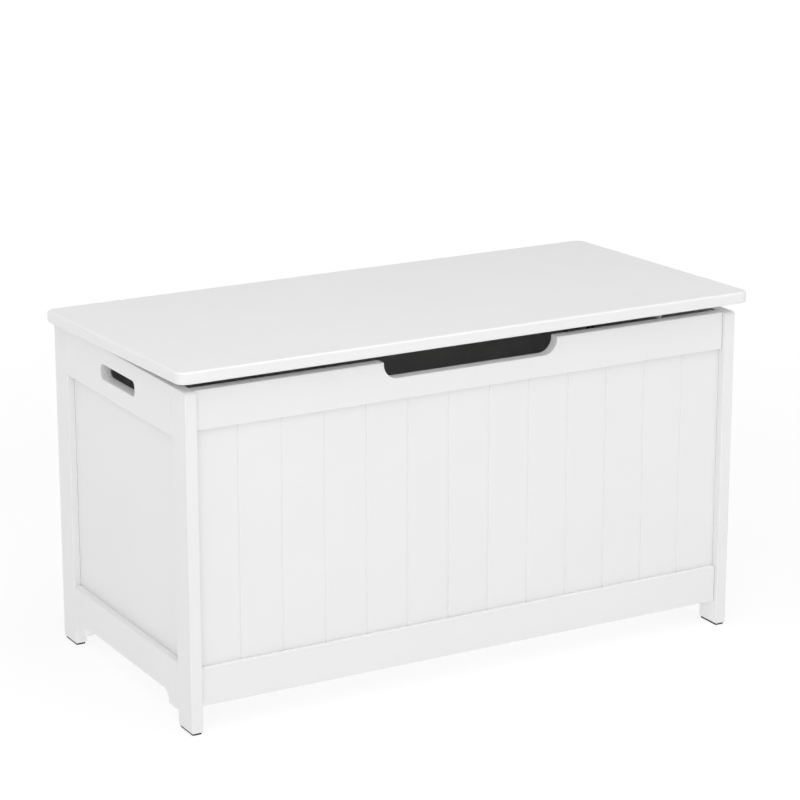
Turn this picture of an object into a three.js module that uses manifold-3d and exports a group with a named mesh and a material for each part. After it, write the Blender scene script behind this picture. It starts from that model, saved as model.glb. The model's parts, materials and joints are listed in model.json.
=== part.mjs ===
// A toy box: a painted board chest on four short legs, with a hinged lid and two friction lid stays.
// Millimetres, +Z up, +X along the width, the front faces -Y.
// The origin is on the floor, under the middle of the whole piece with its lid on.
import * as THREE from "three";
import { mergeVertices } from "three/addons/utils/BufferGeometryUtils.js";
import Module from "manifold-3d";

const wasm = await Module();
wasm.setup();

// ---- Driving dimensions -------------------------------------------------------------------

// The chest.
const BODY_WIDTH = 830; // over the two side frames
const BODY_DEPTH = 411; // front of the front posts to back of the rear posts
const POST_HEIGHT = 451;
const POST_WIDTH = 40;
const BOARD = 16; // posts, rails and lid
const POST_TOP_RADIUS = 5;
const EDGE_EASE = 1.1; // small chamfer on every long edge of posts and rails
const JOINT_GAP = 0.3; // between pieces that meet
const CUT_MARGIN = 1; // how far a cut runs past the face that it opens

// Foot pads.
const PAD_THICKNESS = 3;
const PAD_INSET = 1.5;

// Side frames.
const SIDE_TOP_RAIL_HEIGHT = 66;
const SIDE_PANEL_THICKNESS = 6;
const RAIL_TOP = 84; // top edge of all the bottom rails, above the post feet
const ARCH_HEIGHT = 35.5; // underside of the side rail's arch, above the post feet
const BRACKET_HEIGHT = 19; // underside of the arch's two ends, above the post feet
const BRACKET_LENGTH = 28.7; // from the post to the arch
const ARCH_RADIUS = 15;
const PANEL_LAP = 8; // how far a panel runs behind its frame

// Handle slots in the side top rails.
const SLOT_LENGTH = 107;
const SLOT_HEIGHT = 20.5;
const SLOT_RADIUS = 7;
const SLOT_DROP = 22.4; // from the top edge down to the slot

// Front.
const FRONT_RECESS = 6; // of the front rails behind the posts
const FRONT_TOP_RAIL_HEIGHT = 52;
const FRONT_RAIL_CLEARANCE = 32.5; // under the front and back bottom rails, above the post feet
const FRONT_PANEL_THICKNESS = 9.5;
const PLANK_COUNT = 13;
const GROOVE_WIDTH = 2.2;
const GROOVE_DEPTH = 1.5;
const CUTOUT_WIDTH = 262;
const CUTOUT_DEPTH = 23;
const CUTOUT_RADIUS = 20;

// Back.
const BACK_TOP_RAIL_HEIGHT = 60;
const BACK_PANEL_THICKNESS = 6;

// Floor of the box.
const FLOOR_THICKNESS = 9;
const FLOOR_DROP = 12; // floor's upper face below the tops of the bottom rails
const BATTEN_SIZE = 18;

// Lid.
const LID_SIDE_OVERHANG = 14;
const LID_FRONT_OVERHANG = 15;
const LID_CORNER_RADIUS = 15;
const LID_EDGE_RADIUS = 3;
const LID_EDGE_STEPS = 3; // facets round the lid's edge
const LID_GAP = 1.6; // between the closed lid and the tops of the posts
const LID_AJAR_DEG = 1.7; // how far the lid stands open as modelled
const LID_OPEN_DEG = 85; // full opening, counted from closed
const BUMPER_RADIUS = 5;
const BUMPER_CLEARANCE = 0.1; // to the post when the lid is closed

// Butt hinges.
const HINGE_SPACING = 560;
const HINGE_LENGTH = 60;
const LEAF_THICKNESS = 1.4;
const LEAF_REACH = 17.5; // from the hinge axis to the leaf's free edge
const BARREL_RADIUS = 3;
const BARREL_STANDOFF = 0.5; // between the barrel and the back of the box
const PIN_RADIUS = 1.5;
const PIN_CLEARANCE = 0.09;
const PIN_HEAD_RADIUS = 2.3;
const PIN_HEAD_THICKNESS = 0.8;
const KNUCKLE_SHARE = 0.3; // each outer knuckle's share of the hinge length
const KNUCKLE_GAP = 0.4;
const HINGE_SCREW_SPACING = 40;
const LEAF_SCREW_MARGIN = 3; // from a screw head to the leaf's free edge

// Wood screws with countersunk heads.
const SCREW_LENGTH = 12;
const SCREW_RADIUS = 1.5;
const SCREW_HEAD_RADIUS = 3;
const SCREW_HEAD_RIM = 0.3;
const SCREW_CLEARANCE = 0.2;

// Lid stays: a slotted arm hangs from the lid and slides on a clamped stud on the side.
const STAY_RADIUS = 110; // hinge axis to the stud, and hinge axis to the arm's pivot
const STUD_DROP_DEG = 22; // the stud's direction from the hinge axis, below the horizontal
const PIVOT_DROP = 12; // the arm's pivot below the lid's underside
const ARM_WIDTH = 16;
const ARM_THICKNESS = 2.5;
const STUD_RADIUS = 2.9;
const STUD_CLEARANCE = 0.4;
const SLOT_END_PLAY = 1;
const STAY_PLATE_THICKNESS = 2;
const STAY_PLATE_CORNER = 4;
const STAY_BASE_LENGTH = 46;
const STAY_BASE_WIDTH = 16;
const STAY_BASE_SCREW_SPACING = 32;
const STAY_BOSS_RADIUS = 6;
const STAY_BOSS_HEIGHT = 1.4;
const STAY_RUN_GAP = 0.4; // between the faces that slide on each other
const FLANGE_WIDTH = 18;
const FLANGE_LENGTH = 40;
const FLANGE_SCREW_SPACING = 26;
const RIVET_RADIUS = 2.4;
const RIVET_CLEARANCE = 0.2;
const RIVET_HEAD_RADIUS = 4.5;
const RIVET_HEAD_THICKNESS = 1.3;
const KNOB_RADIUS = 9;
const KNOB_HEIGHT = 8;
const KNOB_EDGE = 1.2; // chamfer
const KNOB_CAP = 2.5; // solid end of the knob beyond the stud
const KNOB_CLEARANCE = 0.2;

// Fineness of the round surfaces.
const ARC_SEGMENTS = 8; // along each arc of an outline
const ROUND_SEGMENTS = 20; // round a turned piece
const SCREW_SEGMENTS = 14;

// ---- Derived sizes ------------------------------------------------------------------------

const POST_FOOT = PAD_THICKNESS;
const BOX_TOP = POST_FOOT + POST_HEIGHT;
const HALF_WIDTH = BODY_WIDTH / 2;
const HALF_DEPTH = BODY_DEPTH / 2;
const INSIDE_X = HALF_WIDTH - BOARD; // inner faces of the side frames
const RAIL_HALF_LENGTH = INSIDE_X - JOINT_GAP; // of the rails between the side frames
const POST_EDGE_Y = HALF_DEPTH - POST_WIDTH; // the posts' inner edges
const BOTTOM_RAIL_TOP = POST_FOOT + RAIL_TOP;
const SIDE_TOP_RAIL_BOTTOM = BOX_TOP - SIDE_TOP_RAIL_HEIGHT;
const FRONT_FACE = -HALF_DEPTH + FRONT_RECESS;
const FRONT_INSIDE = FRONT_FACE + BOARD;
const BACK_INSIDE = HALF_DEPTH - BOARD;
const FLOOR_TOP = BOTTOM_RAIL_TOP - FLOOR_DROP;
const FLOOR_UNDER = FLOOR_TOP - FLOOR_THICKNESS;

const AXIS_Y = HALF_DEPTH + BARREL_STANDOFF + BARREL_RADIUS; // the lid's hinge axis
const AXIS_Z = BOX_TOP + LID_GAP / 2;
const LID_UNDER = LID_GAP / 2; // lid's underside above the axis, in the lid's frame
const LID_REAR = AXIS_Y - HALF_DEPTH; // from the axis forward to the lid's rear edge
const LID_REACH = LID_REAR + BODY_DEPTH + LID_FRONT_OVERHANG;
const BUMPER_THICKNESS = LID_GAP - JOINT_GAP - BUMPER_CLEARANCE;

// Along a hinge from its middle: where the outer knuckles begin, and where the middle one ends.
const HALF_HINGE = HINGE_LENGTH / 2;
const KNUCKLE_INNER = HALF_HINGE - KNUCKLE_SHARE * HINGE_LENGTH;
const MIDDLE_KNUCKLE_END = KNUCKLE_INNER - KNUCKLE_GAP;
const LEAF_SCREW_FORWARD = LEAF_REACH - SCREW_HEAD_RADIUS - LEAF_SCREW_MARGIN;

// The arm's pivot in the lid's frame: forward of the axis, and below it.
const PIVOT_BELOW = PIVOT_DROP - LID_UNDER;
const PIVOT_FORWARD = Math.sqrt(STAY_RADIUS ** 2 - PIVOT_BELOW ** 2);
const PIVOT_ANGLE = Math.asin(PIVOT_BELOW / STAY_RADIUS);
const STUD_ANGLE = THREE.MathUtils.degToRad(STUD_DROP_DEG);
const AJAR = THREE.MathUtils.degToRad(LID_AJAR_DEG);
const STUD_Y = AXIS_Y - STAY_RADIUS * Math.cos(STUD_ANGLE);
const STUD_Z = AXIS_Z - STAY_RADIUS * Math.sin(STUD_ANGLE);

// The stud, the arm's pivot and the hinge axis make an isosceles triangle, so the arm turns half
// as far as the lid. spread is the triangle's angle at the hinge axis.
const spreadAt = (opening) => STUD_ANGLE - PIVOT_ANGLE + opening;
const armReachAt = (opening) => 2 * STAY_RADIUS * Math.sin(spreadAt(opening) / 2);
const ARM_REACH_CLOSED = armReachAt(0);
const ARM_REACH_OPEN = armReachAt(THREE.MathUtils.degToRad(LID_OPEN_DEG));

// Distances of the stay's layers from the side frame's inner face.
const STAY_PLATE_FACE = JOINT_GAP + STAY_PLATE_THICKNESS;
const STAY_BOSS_FACE = STAY_PLATE_FACE + STAY_BOSS_HEIGHT;
const ARM_OUTER_FACE = STAY_BOSS_FACE + STAY_RUN_GAP;
const ARM_INNER_FACE = ARM_OUTER_FACE + ARM_THICKNESS;
const STAY_INNER_PART = ARM_INNER_FACE + STAY_RUN_GAP; // the lid bracket's tab, and the knob
const FLANGE_TOP = LID_UNDER - JOINT_GAP; // of the lid bracket, in the lid's frame
const FLANGE_UNDER = FLANGE_TOP - STAY_PLATE_THICKNESS;

const SIDES = [["left", -1], ["right", 1]];
const ENDS = [["front", -1], ["rear", 1]];

// ---- Materials ----------------------------------------------------------------------------

const MATERIALS = {
  paint: { color: 0xf0f0ef, roughness: 0.45, metalness: 0 },
  zinc: { color: 0xb9bcc0, roughness: 0.35, metalness: 1 },
  blackSteel: { color: 0x1d1e20, roughness: 0.5, metalness: 0.3 },
  blackPlastic: { color: 0x18191a, roughness: 0.6, metalness: 0 },
  rubber: { color: 0x141414, roughness: 0.85, metalness: 0 },
  clearRubber: { color: 0xd8dcdd, roughness: 0.35, metalness: 0 },
};

function piece(name, geometry, material) {
  const mesh = new THREE.Mesh(geometry, new THREE.MeshStandardMaterial(MATERIALS[material]));
  mesh.name = name;
  return mesh;
}

// ---- Solid helpers ------------------------------------------------------------------------

function solidOf(geometry) {
  const bare = geometry.clone();
  bare.deleteAttribute("normal");
  bare.deleteAttribute("uv");
  const merged = mergeVertices(bare, 1e-4);
  return new wasm.Manifold(new wasm.Mesh({
    numProp: 3,
    vertProperties: merged.attributes.position.array,
    triVerts: new Uint32Array(merged.index.array),
  }));
}

function geometryOf(solid) {
  const { vertProperties, triVerts } = solid.getMesh();
  const geometry = new THREE.BufferGeometry();
  geometry.setAttribute("position", new THREE.BufferAttribute(vertProperties, 3));
  geometry.setIndex(new THREE.BufferAttribute(triVerts, 1));
  geometry.computeVertexNormals();
  return geometry;
}

const cut = (geometry, tools) =>
  geometryOf(tools.reduce((left, tool) => left.subtract(solidOf(tool)), solidOf(geometry)));

const join = (geometries) =>
  geometryOf(geometries.map(solidOf).reduce((whole, part) => whole.add(part)));

// A box between two corners, given in any order.
function block([xa, ya, za], [xb, yb, zb]) {
  const size = [Math.abs(xb - xa), Math.abs(yb - ya), Math.abs(zb - za)];
  return new THREE.BoxGeometry(...size).translate((xa + xb) / 2, (ya + yb) / 2, (za + zb) / 2);
}

// How an outline's plane and its direction of extrusion lie in the frame.
const AXES = {
  x: new THREE.Matrix4().set(0, 0, 1, 0, 1, 0, 0, 0, 0, 1, 0, 0, 0, 0, 0, 1), // outline in y, z
  y: new THREE.Matrix4().set(1, 0, 0, 0, 0, 0, -1, 0, 0, 1, 0, 0, 0, 0, 0, 1), // outline in x, z
  z: new THREE.Matrix4(), // outline in x, y
};

// An outline extruded along one axis between two places, with its edges eased.
function extrudeAlong(axis, outline, from, to, ease = 0, easeSteps = 1) {
  const thickness = Math.abs(to - from);
  const geometry = new THREE.ExtrudeGeometry(outline, {
    depth: thickness - 2 * ease,
    bevelEnabled: ease > 0,
    bevelThickness: ease,
    bevelSize: ease,
    bevelOffset: -ease,
    bevelSegments: easeSteps,
    curveSegments: ARC_SEGMENTS,
  });
  geometry.translate(0, 0, ease).applyMatrix4(AXES[axis]);
  const start = axis === "y" ? Math.max(from, to) : Math.min(from, to);
  const offset = { x: [start, 0, 0], y: [0, start, 0], z: [0, 0, start] }[axis];
  return geometry.translate(...offset);
}

function roundedRectangle(u0, v0, u1, v1, radius, path = new THREE.Shape()) {
  path.moveTo(u0 + radius, v0);
  path.lineTo(u1 - radius, v0);
  path.absarc(u1 - radius, v0 + radius, radius, -Math.PI / 2, 0);
  path.lineTo(u1, v1 - radius);
  path.absarc(u1 - radius, v1 - radius, radius, 0, Math.PI / 2);
  path.lineTo(u0 + radius, v1);
  path.absarc(u0 + radius, v1 - radius, radius, Math.PI / 2, Math.PI);
  path.lineTo(u0, v0 + radius);
  path.absarc(u0 + radius, v0 + radius, radius, Math.PI, 1.5 * Math.PI);
  return path;
}

// A strip with round ends: its centre line runs from u0 to u1 at v = 0.
function stadium(u0, u1, radius, path = new THREE.Shape()) {
  path.moveTo(u0, -radius);
  path.lineTo(u1, -radius);
  path.absarc(u1, 0, radius, -Math.PI / 2, Math.PI / 2);
  path.lineTo(u0, radius);
  path.absarc(u0, 0, radius, Math.PI / 2, 1.5 * Math.PI);
  return path;
}

const rectangle = (u0, v0, u1, v1) =>
  new THREE.Shape([[u0, v0], [u1, v0], [u1, v1], [u0, v1]].map(([u, v]) => new THREE.Vector2(u, v)));

// A turned solid: [radius, height] points from the lowest to the highest, about +Z.
function turned(profile, segments = ROUND_SEGMENTS) {
  const points = profile.map(([radius, height]) => new THREE.Vector2(radius, height));
  return new THREE.LatheGeometry(points, segments).rotateX(Math.PI / 2);
}

const rod = (radius, from, to) => turned([[0, from], [radius, from], [radius, to], [0, to]]);

// Turns a solid made about +Z so that its +Z points along side * X.
const pointAlongX = (geometry, side) => geometry.rotateY(side * Math.PI / 2);

// ---- Side frames --------------------------------------------------------------------------

// The step behind a side frame's lip that the panel sits in.
function sideRabbet(side, y0, y1, z0, z1) {
  return block(
    [side * (INSIDE_X - CUT_MARGIN), y0, z0],
    [side * (INSIDE_X + SIDE_PANEL_THICKNESS + JOINT_GAP), y1, z1],
  );
}

// A post, rounded over at the top of its outer edge.
function post(side, end) {
  const outer = end * HALF_DEPTH;
  const inner = end * POST_EDGE_Y;
  const outline = new THREE.Shape();
  outline.moveTo(inner, POST_FOOT);
  outline.lineTo(outer, POST_FOOT);
  outline.lineTo(outer, BOX_TOP - POST_TOP_RADIUS);
  const centreY = outer - end * POST_TOP_RADIUS;
  const startAngle = end > 0 ? 0 : Math.PI;
  outline.absarc(centreY, BOX_TOP - POST_TOP_RADIUS, POST_TOP_RADIUS, startAngle, Math.PI / 2, end < 0);
  outline.lineTo(inner, BOX_TOP);
  const board = extrudeAlong("x", outline, side * INSIDE_X, side * HALF_WIDTH, EDGE_EASE);
  const rabbet = sideRabbet(
    side,
    inner - end * CUT_MARGIN,
    inner + end * PANEL_LAP,
    BOTTOM_RAIL_TOP - PANEL_LAP,
    SIDE_TOP_RAIL_BOTTOM + PANEL_LAP,
  );
  return cut(board, [rabbet]);
}

// The top rail of a side, with the handle slot and the pilot holes of the stay's base.
function sideTopRail(side) {
  const halfLength = POST_EDGE_Y - JOINT_GAP;
  const outline = rectangle(-halfLength, SIDE_TOP_RAIL_BOTTOM, halfLength, BOX_TOP);
  const slotTop = BOX_TOP - SLOT_DROP;
  const slot = new THREE.Path();
  roundedRectangle(-SLOT_LENGTH / 2, slotTop - SLOT_HEIGHT, SLOT_LENGTH / 2, slotTop, SLOT_RADIUS, slot);
  outline.holes.push(slot);
  const board = extrudeAlong("x", outline, side * INSIDE_X, side * HALF_WIDTH, EDGE_EASE);
  const rabbet = sideRabbet(
    side,
    -HALF_DEPTH,
    HALF_DEPTH,
    SIDE_TOP_RAIL_BOTTOM - CUT_MARGIN,
    SIDE_TOP_RAIL_BOTTOM + PANEL_LAP,
  );
  return cut(board, [rabbet, ...stayBaseScrewPlaces(side).map(place => place(screwHole()))]);
}

// The bottom rail of a side, arched underneath between two short brackets.
function sideBottomRail(side) {
  const halfLength = POST_EDGE_Y - JOINT_GAP;
  const archEnd = POST_EDGE_Y - BRACKET_LENGTH;
  const arch = POST_FOOT + ARCH_HEIGHT;
  const bracket = POST_FOOT + BRACKET_HEIGHT;
  const radius = Math.min(ARCH_RADIUS, ARCH_HEIGHT - BRACKET_HEIGHT);
  const outline = new THREE.Shape();
  outline.moveTo(-halfLength, BOTTOM_RAIL_TOP);
  outline.lineTo(-halfLength, bracket);
  outline.lineTo(-archEnd, bracket);
  outline.absarc(-archEnd + radius, arch - radius, radius, Math.PI, Math.PI / 2, true);
  outline.absarc(archEnd - radius, arch - radius, radius, Math.PI / 2, 0, true);
  outline.lineTo(archEnd, bracket);
  outline.lineTo(halfLength, bracket);
  outline.lineTo(halfLength, BOTTOM_RAIL_TOP);
  const board = extrudeAlong("x", outline, side * INSIDE_X, side * HALF_WIDTH, EDGE_EASE);
  const rabbet = sideRabbet(
    side,
    -HALF_DEPTH,
    HALF_DEPTH,
    BOTTOM_RAIL_TOP - PANEL_LAP,
    BOTTOM_RAIL_TOP + CUT_MARGIN,
  );
  return cut(board, [rabbet]);
}

function sidePanel(side) {
  const halfDepth = POST_EDGE_Y + PANEL_LAP - JOINT_GAP;
  const bottom = BOTTOM_RAIL_TOP - PANEL_LAP + JOINT_GAP;
  const top = SIDE_TOP_RAIL_BOTTOM + PANEL_LAP - JOINT_GAP;
  return block(
    [side * INSIDE_X, -halfDepth, bottom],
    [side * (INSIDE_X + SIDE_PANEL_THICKNESS), halfDepth, top],
  );
}

// A thin pad under a post's foot.
function footPad(side, end) {
  const centreX = side * (HALF_WIDTH - BOARD / 2);
  const centreY = end * (HALF_DEPTH - POST_WIDTH / 2);
  const halfX = BOARD / 2 - PAD_INSET;
  const halfY = POST_WIDTH / 2 - PAD_INSET;
  const outline = roundedRectangle(
    centreX - halfX, centreY - halfY, centreX + halfX, centreY + halfY, PAD_INSET);
  return extrudeAlong("z", outline, 0, PAD_THICKNESS - JOINT_GAP);
}

function sideFrames() {
  const group = new THREE.Group();
  for (const [sideName, side] of SIDES) {
    group.add(piece(`${sideName}_top_rail`, sideTopRail(side), "paint"));
    group.add(piece(`${sideName}_bottom_rail`, sideBottomRail(side), "paint"));
    group.add(piece(`${sideName}_panel`, sidePanel(side), "paint"));
    for (const [endName, end] of ENDS) {
      group.add(piece(`${sideName}_${endName}_post`, post(side, end), "paint"));
      group.add(piece(`${sideName}_${endName}_foot_pad`, footPad(side, end), "rubber"));
    }
  }
  return group;
}

// ---- Front and back -----------------------------------------------------------------------

// The step in a rail's edge that a front or back panel sits in; depthY runs out from the inner face.
function railRabbet(insideY, depthY, z0, z1) {
  const openY = insideY - Math.sign(depthY) * CUT_MARGIN;
  return block([-HALF_WIDTH, openY, z0], [HALF_WIDTH, insideY + depthY, z1]);
}

// The front top rail, with the finger cut-out in its upper edge.
function frontTopRail() {
  const bottom = BOX_TOP - FRONT_TOP_RAIL_HEIGHT;
  const halfCutout = CUTOUT_WIDTH / 2;
  const cutoutFloor = BOX_TOP - CUTOUT_DEPTH;
  const radius = Math.min(CUTOUT_RADIUS, CUTOUT_DEPTH);
  const arcX = halfCutout - radius;
  const arcZ = cutoutFloor + radius;
  const outline = new THREE.Shape();
  outline.moveTo(-RAIL_HALF_LENGTH, bottom);
  outline.lineTo(RAIL_HALF_LENGTH, bottom);
  outline.lineTo(RAIL_HALF_LENGTH, BOX_TOP);
  outline.lineTo(halfCutout, BOX_TOP);
  outline.absarc(arcX, arcZ, radius, 0, -Math.PI / 2, true);
  outline.absarc(-arcX, arcZ, radius, -Math.PI / 2, -Math.PI, true);
  outline.lineTo(-halfCutout, BOX_TOP);
  outline.lineTo(-RAIL_HALF_LENGTH, BOX_TOP);
  const board = extrudeAlong("y", outline, FRONT_FACE, FRONT_INSIDE, EDGE_EASE);
  const lap = -(FRONT_PANEL_THICKNESS + JOINT_GAP);
  return cut(board, [railRabbet(FRONT_INSIDE, lap, bottom - CUT_MARGIN, bottom + PANEL_LAP)]);
}

// A plain bottom rail across the front or the back, with its rabbet along the top.
function crossBottomRail(outsideY, insideY, panelThickness) {
  const bottom = POST_FOOT + FRONT_RAIL_CLEARANCE;
  const outline = rectangle(-RAIL_HALF_LENGTH, bottom, RAIL_HALF_LENGTH, BOTTOM_RAIL_TOP);
  const board = extrudeAlong("y", outline, outsideY, insideY, EDGE_EASE);
  const lap = Math.sign(outsideY - insideY) * (panelThickness + JOINT_GAP);
  const rabbet = railRabbet(insideY, lap, BOTTOM_RAIL_TOP - PANEL_LAP, BOTTOM_RAIL_TOP + CUT_MARGIN);
  return cut(board, [rabbet]);
}

// The front panel: one board whose face is cut into planks by V-grooves.
function frontPanel() {
  const face = FRONT_INSIDE - FRONT_PANEL_THICKNESS;
  const pitch = (2 * INSIDE_X) / PLANK_COUNT;
  const outline = new THREE.Shape();
  outline.moveTo(-RAIL_HALF_LENGTH, FRONT_INSIDE);
  outline.lineTo(-RAIL_HALF_LENGTH, face);
  for (let plank = 1; plank < PLANK_COUNT; plank += 1) {
    const grooveX = -INSIDE_X + plank * pitch;
    outline.lineTo(grooveX - GROOVE_WIDTH / 2, face);
    outline.lineTo(grooveX, face + GROOVE_DEPTH);
    outline.lineTo(grooveX + GROOVE_WIDTH / 2, face);
  }
  outline.lineTo(RAIL_HALF_LENGTH, face);
  outline.lineTo(RAIL_HALF_LENGTH, FRONT_INSIDE);
  const bottom = BOTTOM_RAIL_TOP - PANEL_LAP + JOINT_GAP;
  const top = BOX_TOP - FRONT_TOP_RAIL_HEIGHT + PANEL_LAP - JOINT_GAP;
  return extrudeAlong("z", outline, bottom, top);
}

// The back top rail, let in for the hinge leaves along its upper edge.
function backTopRail() {
  const bottom = BOX_TOP - BACK_TOP_RAIL_HEIGHT;
  const outline = rectangle(-RAIL_HALF_LENGTH, bottom, RAIL_HALF_LENGTH, BOX_TOP);
  const board = extrudeAlong("y", outline, BACK_INSIDE, HALF_DEPTH, EDGE_EASE);
  const lap = BACK_PANEL_THICKNESS + JOINT_GAP;
  const tools = [railRabbet(BACK_INSIDE, lap, bottom - CUT_MARGIN, bottom + PANEL_LAP)];
  for (const [, side] of SIDES) {
    tools.push(leafMortise(side, -1).translate(0, AXIS_Y, AXIS_Z));
    tools.push(...boxLeafScrewPlaces(side).map(place => place(screwHole())));
  }
  return cut(board, tools);
}

function backPanel() {
  const bottom = BOTTOM_RAIL_TOP - PANEL_LAP + JOINT_GAP;
  const top = BOX_TOP - BACK_TOP_RAIL_HEIGHT + PANEL_LAP - JOINT_GAP;
  return block(
    [-RAIL_HALF_LENGTH, BACK_INSIDE, bottom],
    [RAIL_HALF_LENGTH, BACK_INSIDE + BACK_PANEL_THICKNESS, top],
  );
}

function frontAndBack() {
  const group = new THREE.Group();
  group.add(piece("front_top_rail", frontTopRail(), "paint"));
  group.add(piece("front_panel", frontPanel(), "paint"));
  const frontRail = crossBottomRail(FRONT_FACE, FRONT_INSIDE, FRONT_PANEL_THICKNESS);
  group.add(piece("front_bottom_rail", frontRail, "paint"));
  group.add(piece("back_top_rail", backTopRail(), "paint"));
  group.add(piece("back_panel", backPanel(), "paint"));
  const backRail = crossBottomRail(HALF_DEPTH, BACK_INSIDE, BACK_PANEL_THICKNESS);
  group.add(piece("back_bottom_rail", backRail, "paint"));
  return group;
}

// ---- Floor --------------------------------------------------------------------------------

// The floor board rests on four battens that run round the inside of the bottom rails.
function floor() {
  const group = new THREE.Group();
  const halfX = RAIL_HALF_LENGTH;
  const frontY = FRONT_INSIDE + JOINT_GAP;
  const backY = BACK_INSIDE - JOINT_GAP;
  const board = block([-halfX, frontY, FLOOR_UNDER], [halfX, backY, FLOOR_TOP]);
  group.add(piece("floor_panel", board, "paint"));
  const battenTop = FLOOR_UNDER - JOINT_GAP;
  const battenBottom = battenTop - BATTEN_SIZE;
  for (const [name, wallY, inward] of [["front", frontY, 1], ["rear", backY, -1]]) {
    const innerY = wallY + inward * BATTEN_SIZE;
    const batten = block([-halfX, wallY, battenBottom], [halfX, innerY, battenTop]);
    group.add(piece(`${name}_floor_batten`, batten, "paint"));
  }
  for (const [name, side] of SIDES) {
    const batten = block(
      [side * halfX, frontY + BATTEN_SIZE + JOINT_GAP, battenBottom],
      [side * (halfX - BATTEN_SIZE), backY - BATTEN_SIZE - JOINT_GAP, battenTop],
    );
    group.add(piece(`${name}_floor_batten`, batten, "paint"));
  }
  return group;
}

// ---- Screws -------------------------------------------------------------------------------

// A countersunk wood screw: its head's face at z = 0, its point downwards.
function screw() {
  const neck = SCREW_HEAD_RIM + SCREW_HEAD_RADIUS - SCREW_RADIUS;
  return turned([
    [0, -SCREW_LENGTH],
    [SCREW_RADIUS, -SCREW_LENGTH + SCREW_RADIUS],
    [SCREW_RADIUS, -neck],
    [SCREW_HEAD_RADIUS, -SCREW_HEAD_RIM],
    [SCREW_HEAD_RADIUS, 0],
    [0, 0],
  ], SCREW_SEGMENTS);
}

// The space that the screw takes in whatever it holds, with clearance, open above the head.
function screwHole() {
  const neck = SCREW_HEAD_RIM + SCREW_HEAD_RADIUS - SCREW_RADIUS;
  const shankRadius = SCREW_RADIUS + SCREW_CLEARANCE;
  const headRadius = SCREW_HEAD_RADIUS + SCREW_CLEARANCE;
  return turned([
    [0, -SCREW_LENGTH - SCREW_CLEARANCE],
    [shankRadius, -SCREW_LENGTH - SCREW_CLEARANCE],
    [shankRadius, -neck - SCREW_CLEARANCE],
    [headRadius, -SCREW_HEAD_RIM - SCREW_CLEARANCE],
    [headRadius, SCREW_HEAD_RADIUS],
    [0, SCREW_HEAD_RADIUS],
  ], SCREW_SEGMENTS);
}

// ---- Hinges -------------------------------------------------------------------------------

const hingeX = (side) => (side * HINGE_SPACING) / 2;
const screwPair = (spacing) => [-spacing / 2, spacing / 2];

// The pocket for one leaf, about the hinge axis: below it in the box (-1), above it in the lid (1).
function leafMortise(side, above) {
  const halfLength = HALF_HINGE + JOINT_GAP;
  return block(
    [hingeX(side) - halfLength, -LEAF_REACH - JOINT_GAP, 0],
    [hingeX(side) + halfLength, BARREL_RADIUS, above * (LID_UNDER + LEAF_THICKNESS + JOINT_GAP)],
  );
}

// One leaf about the hinge axis: knuckles over the given stretches of X, clear of the others.
function hingeLeaf(side, leafTop, ownStretches, otherStretches, screwPlaces) {
  const centre = hingeX(side);
  const along = (radius, [from, to]) => pointAlongX(rod(radius, from, to), 1).translate(centre, 0, 0);
  const plate = block(
    [centre - HALF_HINGE, -LEAF_REACH, leafTop - LEAF_THICKNESS],
    [centre + HALF_HINGE, 0, leafTop],
  );
  const clear = otherStretches.map(stretch => along(BARREL_RADIUS + KNUCKLE_GAP, stretch));
  const bore = along(PIN_RADIUS + PIN_CLEARANCE, [-HINGE_LENGTH, HINGE_LENGTH]);
  const relieved = cut(plate, clear);
  const leaf = join([relieved, ...ownStretches.map(stretch => along(BARREL_RADIUS, stretch))]);
  return cut(leaf, [bore, ...screwPlaces.map(place => place(screwHole()))]);
}

// Stretches of X from the hinge's middle: each leaf's knuckles, and the room beside them.
const OUTER_KNUCKLES = [[-HALF_HINGE, -KNUCKLE_INNER], [KNUCKLE_INNER, HALF_HINGE]];
const MIDDLE_KNUCKLE = [[-MIDDLE_KNUCKLE_END, MIDDLE_KNUCKLE_END]];
const BESIDE_OUTER = [[-KNUCKLE_INNER, KNUCKLE_INNER]];
const BESIDE_MIDDLE = [[-HINGE_LENGTH, -MIDDLE_KNUCKLE_END], [MIDDLE_KNUCKLE_END, HINGE_LENGTH]];

// Screws in the box's leaves point down, in the box's frame.
const boxLeafScrewPlaces = (side) => screwPair(HINGE_SCREW_SPACING).map(x => geometry =>
  geometry.translate(hingeX(side) + x, AXIS_Y - LEAF_SCREW_FORWARD, AXIS_Z - LID_UNDER));

// Screws in the lid's leaves point up, in the lid's frame.
const lidLeafScrewPlaces = (side) => screwPair(HINGE_SCREW_SPACING).map(x => geometry =>
  geometry.rotateX(Math.PI).translate(hingeX(side) + x, -LEAF_SCREW_FORWARD, LID_UNDER));

function boxLeaf(side) {
  const inHingeFrame = boxLeafScrewPlaces(side).map(place => geometry =>
    place(geometry).translate(0, -AXIS_Y, -AXIS_Z));
  return hingeLeaf(side, -LID_UNDER, OUTER_KNUCKLES, BESIDE_OUTER, inHingeFrame)
    .translate(0, AXIS_Y, AXIS_Z);
}

function lidLeaf(side) {
  const leafTop = LID_UNDER + LEAF_THICKNESS;
  return hingeLeaf(side, leafTop, MIDDLE_KNUCKLE, BESIDE_MIDDLE, lidLeafScrewPlaces(side));
}

function hingePin(side) {
  const shankEnd = HALF_HINGE + PIN_CLEARANCE;
  const headEnd = shankEnd + PIN_HEAD_THICKNESS;
  const pin = turned([
    [0, -headEnd],
    [PIN_HEAD_RADIUS, -headEnd],
    [PIN_HEAD_RADIUS, -shankEnd],
    [PIN_RADIUS, -shankEnd],
    [PIN_RADIUS, shankEnd],
    [PIN_HEAD_RADIUS, shankEnd],
    [PIN_HEAD_RADIUS, headEnd],
    [0, headEnd],
  ]);
  return pointAlongX(pin, 1).translate(hingeX(side), AXIS_Y, AXIS_Z);
}

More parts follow.
